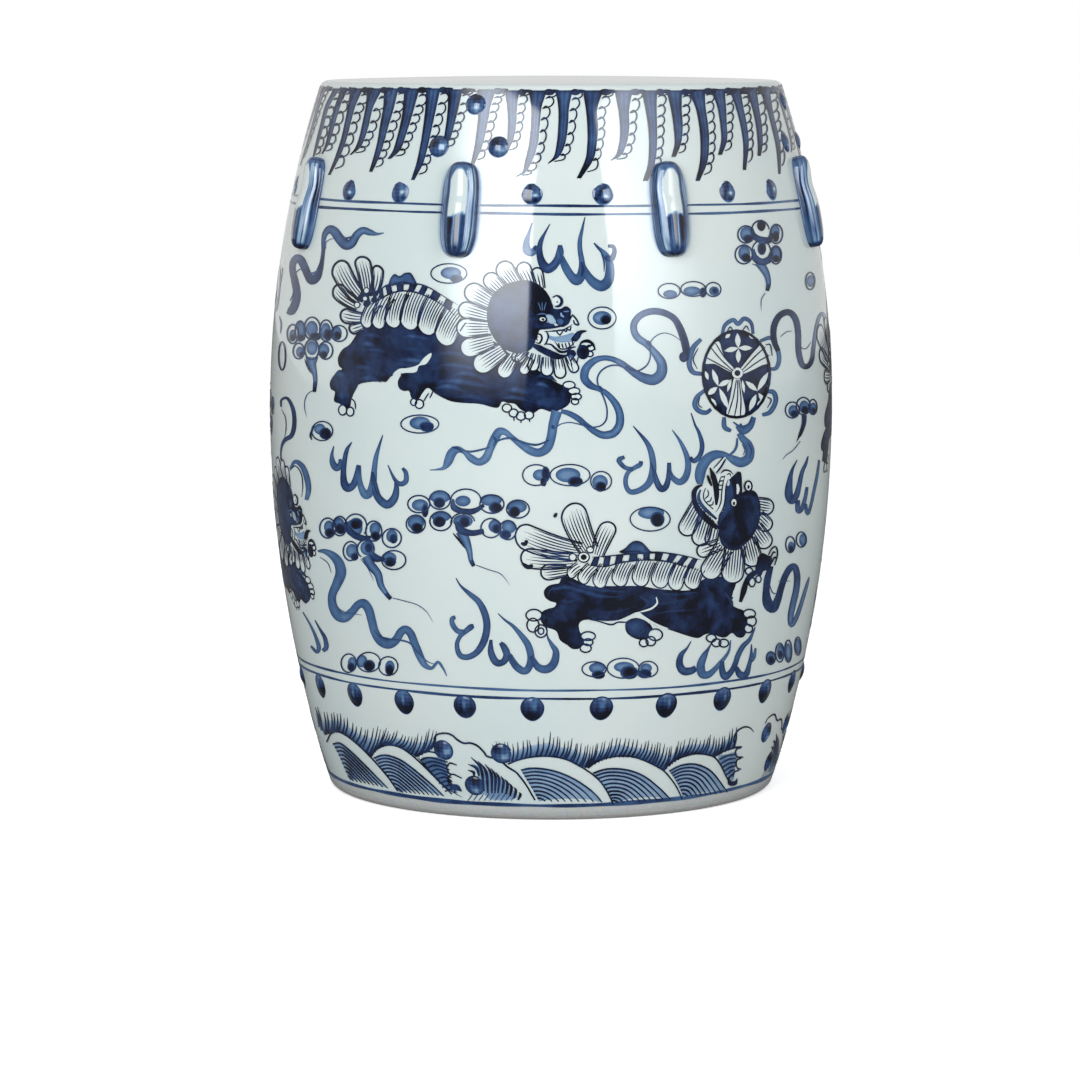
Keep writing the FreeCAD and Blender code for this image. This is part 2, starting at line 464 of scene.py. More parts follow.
def checker_ridge(lines, upper, lower):
    """A spine of nine dark squares between two lines."""
    first = 0.02
    squares = 9
    a = smooth(upper, False, 10)
    b = smooth(lower, False, 10)
    lines.brush(upper, 1.5, 0.85, layer=9)
    lines.brush(lower, 1.6, 0.9, layer=9)
    t_a = np.linspace(0.0, 1.0, len(a))
    t_b = np.linspace(0.0, 1.0, len(b))

    def at(t):
        p = np.array([np.interp(t, t_a, a[:, 0]), np.interp(t, t_a, a[:, 1])])
        q = np.array([np.interp(t, t_b, b[:, 0]), np.interp(t, t_b, b[:, 1])])
        return p, q

    step = (1.0 - first) / squares
    for n in range(squares):
        s = first + n * step
        p0, q0 = at(s)
        p1, q1 = at(min(s + 0.55 * step, 1.0))
        shape = [p0, (p0 + p1) / 2.0, p1, (p1 + q1) / 2.0, q1, (q0 + q1) / 2.0, q0, (p0 + q0) / 2.0]
        lines.wash(shape, 0.98, 0.85, layer=9, depth=1.0, spacing=1.5, per_span=2)


def pelt(fills, x, y, long, tall, count, bow):
    """Lighter streaks left by the brush in a dark body."""
    slope = 0.12
    step = tall / count
    for n in range(count):
        if random.random() < 0.16:
            continue
        top = y + (n + 0.5) * step + random.uniform(-0.32, 0.32) * step
        left = x + random.uniform(-0.04, 0.3) * long
        reach = long * random.uniform(0.5, 1.0)
        arch = bow * random.uniform(0.5, 1.2)
        path = [(left, top + arch * 0.4), (left + 0.35 * reach, top - 0.3 * arch + slope * 0.35 * reach),
                (left + 0.7 * reach, top - 0.1 * arch + slope * 0.7 * reach),
                (left + reach, top + 0.6 * arch + slope * reach)]
        tone = 0.66 + random.uniform(-0.04, 0.16)
        wide = step * random.uniform(0.7, 1.15)
        fills.brush(path, [0.4 * wide, 0.8 * wide, 0.7 * wide, 0.3 * wide], [0.9, tone, tone + 0.08, 0.9],
                    layer=3, columns=5, edge=0.9, start=0.5, end=0.3)


def upper_lion(fills, lines):
    """The lion in the upper row: tail to the left, head to the right."""
    body = [(357, 334), (350, 344), (342, 350), (338, 358), (339, 366), (342, 369), (335, 374), (330, 382),
            (331, 389), (335, 392), (334, 401), (340, 404), (345, 409), (350, 407), (352, 398), (357, 388),
            (360, 384), (370, 382), (380, 381), (386, 382), (392, 376), (401, 374), (398, 381), (399, 388),
            (404, 391), (409, 391), (411, 397), (414, 400), (419, 399), (422, 394), (428, 388), (436, 394),
            (450, 401), (464, 403), (480, 404), (497, 408), (502, 402), (508, 403), (515, 404), (520, 409),
            (528, 413), (534, 413), (541, 409), (552, 412), (562, 409), (569, 404), (571, 396), (569, 389),
            (564, 386), (556, 382), (549, 378), (541, 372), (532, 367), (515, 360), (500, 345), (470, 330),
            (440, 320), (420, 305), (390, 310), (370, 318)]
    fills.wash(body, 0.99, 0.90, layer=2, depth=6.0)
    fills.wash([(393, 375), (399, 369), (408, 368), (418, 365), (424, 358), (431, 353), (431, 357),
                (426, 364), (419, 366), (416, 372), (404, 373)], 0.0, 0.0, layer=4)
    for x, y, long, tall, count, bow in ((354, 330, 30, 52, 6, 3.0), (393, 329, 36, 40, 5, 3.0),
                                         (436, 350, 60, 50, 6, 6.0), (500, 366, 34, 34, 4, 4.0),
                                         (534, 374, 28, 32, 4, 5.0), (333, 372, 14, 26, 3, 1.0)):
        pelt(fills, x, y, long, tall, count, bow)
    tail = [((363, 301), (338, 262), 9.5, 6, -3.0), ((368, 294), (361, 257), 7.5, 5, 1.5),
            ((373, 295), (378, 266), 5.2, 3, 2.0), ((360, 306), (335, 287), 7.5, 5, -2.0),
            ((361, 318), (341, 314), 7.0, 5, -1.0), ((362, 326), (350, 330), 5.5, 4, 0.0)]
    for base, tip, half, hatch, bow in tail:
        petal(lines, fills, base, tip, half, hatch, reach=0.92, width=2.3, bow=bow)
    bare(fills, [(362, 318), (368, 308), (380, 300), (392, 294), (410, 291), (430, 297), (450, 308),
                 (464, 322), (456, 338), (444, 336), (430, 328), (412, 322), (394, 320), (376, 322)], 3)
    ruff = [((376, 303), (366, 328), 5.8, 4), ((388, 297), (378, 329), 6.8, 5),
            ((401, 293), (393, 328), 7.8, 5), ((419, 292), (409, 330), 9.4, 6),
            ((439, 300), (426, 335), 10.0, 7), ((460, 311), (443, 345), 11.6, 8)]
    for base, tip, half, hatch in ruff:
        petal(lines, fills, base, tip, half, hatch, bow=2.6, reach=0.88, root=1.12)
    checker_ridge(lines, [(362, 294), (372, 292), (380, 290), (388, 285), (402, 284), (418, 284), (430, 288),
                          (445, 297), (458, 305)],
                  [(366, 306), (374, 303), (381, 299), (390, 294), (402, 291), (414, 292), (426, 296),
                   (441, 304), (456, 316)])
    fills.wash([(389, 286), (391, 278), (395, 274), (400, 276), (405, 273), (411, 273), (415, 279),
                (417, 285), (410, 285), (403, 283), (396, 285)], 0.98, 0.62, layer=10, depth=1.6)
    mane = [((541, 289), (536, 268), 5.5, 3), ((531, 284), (521, 263), 7.0, 5),
            ((517, 286), (500, 263), 9.0, 6), ((503, 292), (486, 275), 8.0, 5),
            ((492, 303), (466, 288), 9.5, 7), ((488, 316), (459, 308), 8.0, 6),
            ((488, 328), (457, 328), 9.5, 7), ((493, 341), (461, 350), 9.5, 7),
            ((503, 350), (475, 369), 10.0, 8), ((514, 356), (501, 377), 7.5, 6),
            ((525, 350), (513, 360), 5.0, 3), ((531, 358), (522, 374), 5.0, 4)]
    for base, tip, half, hatch in mane:
        petal(lines, fills, base, tip, half, hatch, reach=0.78, layer=8)
    head = [(553, 314), (551, 300), (543, 288), (531, 281), (517, 281), (501, 287), (490, 300), (487, 318),
            (492, 335), (503, 348), (517, 353), (530, 350), (536, 340), (541, 328)]
    fills.wash(head, 0.97, 0.86, layer=9, depth=5.0)
    fills.wash([(531, 283), (541, 287), (550, 298), (553, 312), (548, 316), (540, 317), (534, 314),
                (531, 305), (532, 294)], 0.95, 1.0, layer=10)


def ellipse(cx, cy, rx, ry, start=0.0, end=360.0, count=14):
    """Points round an ellipse; the angle grows clockwise from the right."""
    whole = end - start >= 359.0
    turn = np.radians(np.linspace(start, end, count, endpoint=not whole))
    return np.stack([cx + rx * np.cos(turn), cy + ry * np.sin(turn)], -1)


def ring(lines, cx, cy, rx, ry, width=1.5, ink=0.82, start=0.0, end=360.0, layer=7):
    """A drawn ring, or a part of one."""
    whole = end - start >= 359.0
    lines.brush(ellipse(cx, cy, rx, ry, start, end), width, ink, layer, 0.8, 0.8, closed=whole, per_span=2)


def blob(sheet, cx, cy, rx, ry, rim=0.9, middle=1.0, layer=6, depth=1.2):
    """A filled ellipse."""
    path = ellipse(cx, cy, rx, ry, count=12)
    sheet.wash(path, rim, middle, layer=layer, depth=depth, spacing=1.5, per_span=2)


def lobe(fills, lines, outline, wash, dark, pale=0.50, width=1.6):
    """A cloud's lobe: a line, a wash inside it and a dark pool at the wash's foot."""
    cx, cy, rx, ry, *span = outline
    start, end = span or (0.0, 360.0)
    ring(lines, cx, cy, rx, ry, width=width, start=start, end=end)
    if wash:
        x, y, rx, ry = wash
        blob(fills, x, y, 1.1 * rx, 1.1 * ry, rim=pale + 0.2, middle=pale - 0.04, layer=2, depth=2.4)
    if dark:
        x, y, rx, ry = dark
        halo = (x - 0.12 * rx, y - 0.12 * ry, 1.2 * rx, 1.15 * ry)
        blob(lines, *halo, rim=0.66, middle=0.86, layer=5, depth=1.6)
        blob(lines, x, y, rx, ry, rim=0.9, middle=1.0, layer=6, depth=1.1)


def trail(sheet, points, ink, edge):
    """A ribbon of wash; each point has its width, the edges run darker."""
    sheet.brush(points, None, ink, 3, 1.0, 1.0, edge=edge, columns=5)


def bare(fills, outline, layer=6, per_span=3):
    """Glaze left bare, or wiped bare, over a dark wash."""
    fills.wash(outline, 0.0, 0.0, layer=layer, spacing=4.0, per_span=per_span)


def clouds(fills, lines):
    """Clusters of lobes with a tail, and the small clouds between the figures."""
    upper_left = [((293, 334, 5.5, 9.5), (293, 335, 3.2, 5), (293, 338, 2.6, 3.4)),
                  ((300.5, 331, 5, 10), (301, 329, 3.5, 7), (302, 338, 3.2, 3)),
                  ((312.5, 328.5, 8, 11.3), (312, 329, 5.5, 7.5), (316, 337, 5, 3.6)),
                  ((326.5, 330.5, 6.5, 10.5), (326, 331, 4.6, 7.5), (328, 335, 3.6, 5)),
                  ((339.5, 333.5, 8, 8), (337, 333, 4.5, 6), (338, 336, 3.4, 4)),
                  ((299, 351, 5.5, 7.8), (300, 352, 3.5, 5), (302, 355, 2, 3)),
                  ((312, 349.5, 7, 10), (312, 348, 5, 6.5), None),
                  ((326, 350.5, 7, 8.7), (324, 350, 5, 6), (324, 355, 3.5, 3.5))]
    lower_left = [((328, 528, 8, 10), (329, 527, 4.5, 6), (330, 533, 4, 4)),
                  ((340, 526, 7, 9.7), (339, 524, 5, 6), (341, 529, 4.4, 5)),
                  ((356, 526, 11, 12, 180, 400), (354, 528, 8, 8), (357, 524, 5.5, 5)),
                  ((374, 531, 8, 10), (375, 529, 5, 6), (376, 536, 4, 4)),
                  ((392, 538, 9.5, 9.5), (392, 536, 5.2, 6), (394, 539, 3.6, 4.4)),
                  ((351, 551, 7.5, 9.5, 60, 340), (352, 551, 5.5, 6.5), (355, 557, 3.4, 3.6)),
                  ((366, 549, 8.5, 9, 120, 380), (367, 548, 6, 6.5), (369, 548, 3.5, 4.5)),
                  ((394, 560, 12, 9.5), (389, 558, 7, 5.5), (391, 562, 5, 4.6))]
    middle = [((419, 504, 11, 8.6), (420, 505, 7.5, 5.4), (425.5, 511, 3, 6)),
              ((440, 500, 10.5, 9.2), (440, 497, 9.5, 5.5), (440, 503, 5, 4.8)),
              ((466, 500, 15, 11, 185, 360), (463, 501, 7, 5), None),
              ((492, 504, 12, 9.2), (491, 500, 10, 5.5), (496, 508, 5.6, 5)),
              ((518, 509, 11.3, 9), (517, 507, 9, 5.6), (515, 512, 5, 4.8)),
              ((416, 524, 9.5, 9), (416, 523, 7.5, 6.4), (417.5, 528, 5, 4.4)),
              ((441, 521, 11, 9.6), (441, 517, 8.5, 4.4), (440, 522, 5.4, 5)),
              ((463, 523, 12, 10, 170, 350), (463, 521, 9, 6), (465, 522, 4.5, 5)),
              ((491, 528, 10, 9.6), (495, 526, 6, 6), (497, 529, 4.2, 4.4)),
              ((508, 530, 8.5, 9.6), (509, 527, 6.4, 6), (506, 535, 5, 4.2))]
    upper_right = [((745.5, 234.5, 8, 8.6), (746, 234, 5.6, 6.6), (748.5, 239, 4.4, 3.8)),
                   ((760, 231, 8.8, 10.4, 175, 350), None, (761.5, 226, 3.6, 5)),
                   ((776, 234, 6.2, 9.6), (775, 232, 4.2, 7), (776, 237, 2.8, 5)),
                   ((743.5, 254.5, 8.6, 9.4), (744, 253, 5.4, 6.8), (746, 258, 4, 4)),
                   ((761, 252, 9.4, 11.5, 190, 350), None, (762, 249, 3.6, 6)),
                   ((775.5, 255, 5.6, 9), (776, 254, 4.2, 7), (776, 259, 3, 3.4))]
    for cluster in (upper_left, lower_left, middle, upper_right):
        for outline, wash, dark in cluster:
            lobe(fills, lines, outline, wash, dark)
    for points in ([(312, 357, 13), (312, 364, 9), (314.5, 372, 5.5), (315.5, 381, 4.4), (314.6, 392, 3.4)],
                   [(366, 556, 9), (371, 565, 9), (378, 574, 8), (381, 585, 6.4), (386, 593, 5),
                    (391, 599, 4)],
                   [(461, 531, 11), (466, 541, 9), (469.5, 551, 6), (471, 560, 4.8), (474, 566, 4)],
                   [(758, 262, 8), (763.5, 269, 8), (767, 276, 6.4), (768.3, 284, 5), (767, 291, 3.6)]):
        trail(fills, points, 0.42, 0.8)
        lines.brush(points[-2:], [2.2, 4.2], [0.7, 1.0], 7, 0.5, 0.9)
    for points, width in (([(346, 521), (352, 533), (362, 538), (371, 537)], [3, 6.5, 6.5, 4]),
                          ([(370, 551), (376, 558), (385, 559)], [5, 8, 4]),
                          ([(453, 499), (454, 507), (462, 511), (474, 511), (484, 505)], [4, 7, 6, 6, 5]),
                          ([(456, 522), (461, 530), (472, 533), (484, 531)], [6, 8, 6, 7]),
                          ([(752, 228), (754, 236), (761, 240), (769, 240), (771, 233)], [3, 6, 7, 7, 4]),
                          ([(753, 249), (755, 258), (762, 262), (769, 259), (771, 252)], [4, 7, 7, 7, 4])):
        lines.brush(points, width, [0.62, 0.72, 0.8, 0.95], 5, 0.6, 0.7, edge=0.9, columns=5)
    for points in ([(314, 390), (308, 394), (305, 401), (305, 409), (307, 417)],
                   [(393, 598), (405, 601), (418, 605), (427, 612), (433, 622)],
                   [(476, 565), (490, 570), (501, 574), (510, 585)], [(765, 293), (761, 300), (761, 311)],
                   [(361, 559), (368, 568), (374, 581)], [(752, 264), (757, 266)],
                   [(800, 441), (793, 450), (786, 455), (782, 460)]):
        lines.brush(points, 0.9, [0.85, 0.45], 6, 0.8, 0.3)
    lines.brush([(804, 415), (803.4, 424), (800, 434), (796, 442)], [5.4, 4.4, 3.4, 1], [0.8, 0.97, 1.0], 6,
                0.9, 0.3)
    lines.brush([(453, 533), (460, 541), (466, 549)], 2.2, 0.95, 6)
    lines.brush([(305, 359), (308, 367), (312, 374)], 1.6, 0.9, 6)
    small = [((322.5, 431, 10.5, 9.6), (320, 429, 5.2, 5), (326, 434, 5, 5.2)),
             ((420, 424, 19, 9), (420, 423, 9.5, 6), (427.5, 427, 6.2, 4.6)),
             ((449, 273.5, 18, 9.8), (451, 273, 9.5, 5.6), (457, 279, 5.4, 3.6)),
             ((602, 318, 14, 11), (602, 318, 8.6, 6.4), (606, 320, 4.6, 4.4)),
             ((650, 519, 20, 12), (651, 513, 12, 5.6), (658, 520, 6, 6.6)),
             ((349, 663, 7.6, 9.2), (352, 664, 3.8, 6.4), (351.5, 667, 3, 4)),
             ((369, 662, 11.6, 9.8), (362, 661, 5, 5.8), (370, 666, 5, 5)),
             ((388.5, 666, 9.6, 9.4), (390, 667, 4.4, 6), (390, 670, 3.6, 5)),
             ((536, 475, 13.4, 10.4), (540, 475, 6.6, 5.2), (546, 474, 3.6, 6)),
             ((570, 475, 20, 10.6), (568, 475, 11.4, 6.8), (576, 482, 6.4, 4.6)),
             ((601, 481, 10.4, 9.6), (600, 482, 7.2, 6.6), (601, 487, 4.8, 4.6)),
             ((594, 669, 12, 7.4), (597, 668, 7.4, 5), (599, 675, 5.6, 3.8)),
             ((623, 668, 16, 10), (624, 667, 9.4, 4.8), (630, 673, 7.6, 6)),
             ((648, 669, 9.6, 7.8), (646, 668, 5.4, 4.4), (645, 674, 6, 4.2)),
             ((669, 291, 11, 7.6), (670, 294, 6.4, 3.6), None),
             ((693, 289, 12.4, 7.4), (692, 291, 8, 4.2), (703, 293, 3, 4.4)),
             ((713, 289.5, 7.6, 7), (714, 291, 4.6, 4.2), (715, 291, 2.6, 2.8)),
             ((790, 544.5, 4.6, 8), (791, 547, 3, 5), (791, 549, 2, 3.4)),
             ((801, 539.5, 5, 7.6), (803, 540, 3.6, 6), None),
             ((770.5, 658, 4.4, 6.4), (770, 657, 3.4, 4.8), (771, 660, 2.8, 3.6)),
             ((779.5, 652.5, 4.2, 9.4), (780, 652, 2.8, 7), (780, 655, 2, 4)),
             ((788, 651, 3.4, 11), (788, 652, 2.6, 8), None),
             ((792, 410, 7, 8), (793, 411, 4.4, 5.4), (794, 414, 3, 3.4)),
             ((803, 406, 7, 8.6), (804, 407, 4.4, 6), (805, 410, 2.8, 3.6)),
             ((812.6, 407, 4, 7.6), (813, 408, 2.8, 5), (813, 411, 2, 3.4)),
             ((797.6, 646, 3, 9), (797.6, 646, 2.2, 6.6), None),
             ((810, 281, 4.6, 8.6), (810.5, 281, 3.4, 5.4), None)]
    for outline, wash, dark in small:
        lobe(fills, lines, outline, wash, dark, pale=0.46, width=1.4)
    lines.brush([(543, 478), (543.5, 482), (543, 486)], [4, 6.5, 5], 1.0, 6, 0.8, 0.8)
    lines.brush([(312, 440), (311, 434), (315, 425)], 2.2, 0.8, 7)


def flames(fills, lines):
    """Licks of flame: long drawn strokes that end in points."""
    strokes = [[(334, 446, 1), (332, 455, 3.4), (333, 463, 6.4), (337, 468, 7), (340.5, 464, 5),
                (340, 459, 3)],
               [(352, 442, 1), (347, 450, 4), (344.5, 462, 5), (343.5, 475, 6), (345, 485, 8), (349, 488, 8),
                (354, 484, 7), (357, 475, 6), (359, 465, 4.6)],
               [(359, 466, 4.4), (359.5, 478, 5), (361.5, 488, 6.6), (366, 495, 8.6), (371, 491, 8),
                (373.5, 480, 7), (374.5, 469, 5.6), (376, 458, 4.8), (379, 447, 3), (383, 435, 1)],
               [(372.5, 472, 3), (374.5, 484, 6), (378, 497, 7.6), (387, 504.5, 8.6), (394, 499, 8),
                (396.5, 490, 6), (396, 482, 3)],
               [(388, 465, 1), (392, 474, 2.4), (396, 481, 4), (401, 484, 5), (406, 481, 5.4),
                (406, 473, 4.6), (402.6, 468, 3)],
               [(532, 223, 1), (529, 233, 3), (526.5, 242, 6), (527, 250, 8.6), (531, 253, 7), (535, 250, 7),
                (537, 246, 4)],
               [(550, 224, 1), (545, 233, 2.4), (541, 241, 4.6), (539.5, 250, 6), (541, 260, 7.6),
                (546, 268, 10), (552, 267, 9), (557.5, 260, 8), (560, 252, 7.6), (560, 245, 4)],
               [(561, 257, 6), (565, 266, 8), (571, 276, 9), (577, 280, 11), (581.5, 274, 9), (582, 263, 6),
                (580, 250, 5), (580, 240, 4.4), (582, 230, 3), (585, 217, 1)],
               [(582, 262, 4), (585, 271, 7), (592, 281, 9.4), (601, 286, 11), (608, 281, 10.4),
                (610, 270, 9), (608.6, 260, 7), (604, 253, 5), (598, 247.6, 3), (594, 243, 1.6)],
               [(605, 257, 4), (611, 259, 6), (614.4, 252, 4.6), (613, 246.6, 4), (608, 246, 3)],
               [(633, 426, 1), (640, 434, 2.8), (647, 443, 4.8), (651, 452, 6.2), (653, 464, 6.6),
                (652, 475, 7.4), (648, 484, 7), (640, 490, 6), (631, 492, 5.4), (626.4, 487, 4.8),
                (625.6, 479, 4.8), (628.4, 472, 4.4), (634, 468, 4.6), (640, 464.6, 5), (641, 461, 3.8)],
               [(633, 469, 4), (626, 468, 4.4), (621, 464, 4.8), (619, 459.6, 5), (624.6, 457, 3.6)],
               [(653.6, 470, 4), (656, 480, 6), (660.6, 488.6, 6.6), (665.4, 487, 6.4), (668, 480, 5.4),
                (669, 471, 4.8), (669, 462.6, 4)],
               [(669, 470, 4), (672, 477, 5.4), (679, 482, 6.6), (685, 478, 7), (688, 468, 6.4),
                (687, 457, 5.4), (683, 447, 4.2), (678, 438, 2.6), (672, 430, 1)],
               [(690, 457, 3), (694, 461, 5), (700, 455, 4.8), (702, 445, 4.8), (699, 433, 3.4),
                (695, 425, 2.2), (691, 413, 1)],
               [(456, 578, 1), (461, 586, 2.2), (470, 594, 4.8), (479, 602, 6.2), (485, 614, 7.2),
                (487, 627, 7.2), (484, 641, 7.4), (477, 652, 6.4), (468, 657, 6), (460, 655, 5.6),
                (457, 645, 4.6), (460, 636.6, 4.4), (466, 631, 5.4), (471, 627, 6), (474, 626, 4)],
               [(465, 632, 5), (458, 631, 5.4), (453, 625, 5.4), (452, 619, 4.6), (455.6, 617, 4)],
               [(491, 639.6, 3), (491, 652, 6.4), (496, 662, 7.4), (503, 662, 6.6), (507, 655, 7.4),
                (504, 647, 6.6), (500.4, 642.6, 4)],
               [(509, 655, 6), (516, 666, 7.4), (524, 671, 7.4), (529, 667, 7.4), (531, 657, 7.4),
                (528, 645, 7), (521, 635, 5.4), (513, 626, 3.6), (505, 620, 2.2), (498, 613.4, 1)],
               [(531, 656, 5), (538, 667, 7.4), (547, 669, 8.4), (554, 663, 8.4), (556, 652, 6.6),
                (552, 645, 4.4), (548, 638, 2.2), (547, 633, 1)],
               [(691, 641, 1), (687, 648, 2.2), (681, 655, 5.4), (679.4, 664, 7.4), (683, 670.6, 8.4),
                (690, 671, 7.4), (696, 668, 6)],
               [(712, 642, 1), (708, 649, 2.8), (704, 656, 6.4), (700.6, 665, 8.4), (702, 673.6, 8.8),
                (708, 674.6, 7.2), (714, 670, 5.4), (720, 663, 4.4), (725, 657, 3.4), (729, 650, 2.4),
                (730.6, 640, 1)],
               [(722, 661, 4), (722, 670, 6.4), (725, 676.6, 7.4), (731, 671.6, 5.6), (735, 664, 5.4),
                (738, 655, 5.4), (743, 646, 5), (749, 640, 4), (753, 632, 2.2), (755, 627, 1)],
               [(736, 667, 4), (740, 674.6, 7.4), (746, 674, 6.4), (749, 665, 4.4), (751, 655, 3.2),
                (751.4, 644, 1)],
               [(751, 661, 4), (754, 656, 4), (755.4, 648, 2)],
               [(797, 460, 1), (792, 470, 3), (789.4, 482, 6), (788.6, 494, 8.4), (791.4, 501, 7),
                (796, 496, 6), (799, 485, 5), (802, 472, 4), (806, 463, 3), (808, 456, 1)],
               [(797.4, 500, 5), (798, 511, 5), (802, 508, 4.4), (805, 498, 4), (807, 487, 3)],
               [(805, 504, 4), (807.4, 514, 3.4), (811, 504, 3.2), (814, 490, 3.2), (817, 475, 3),
                (819, 460, 2)],
               [(315, 620, 1), (320, 629, 2.4), (325, 638, 4), (326.4, 647, 5), (323, 651, 4)],
               [(303, 612, 1), (310, 624, 2.2), (315.6, 636, 3.2), (319, 647, 4.4), (317, 652, 3.4),
                (311, 646, 2.4)]]
    for n, points in enumerate(strokes):
        tone = 0.57 + 0.09 * math.sin(n * 2.3)
        trail(fills, points, [0.8, tone, tone + 0.1, tone, tone, 0.75], tone + 0.17)
    for points, width in (([(536, 246), (534.6, 251)], 5), ([(559.6, 250), (561, 257)], 5),
                          ([(581.6, 262), (583, 270), (581, 277)], 4.4),
                          ([(548, 271), (556, 266), (560, 258)], 3),
                          ([(596, 245.6), (601, 252), (604, 262), (604, 272)], 2),
                          ([(372.6, 476), (375, 487), (378, 496)], 2.6),
                          ([(651, 462), (654, 474), (656, 484)], 2.4)):
        lines.brush(points, width, 0.85, 5, 0.4, 0.3, edge=0.62, columns=5)


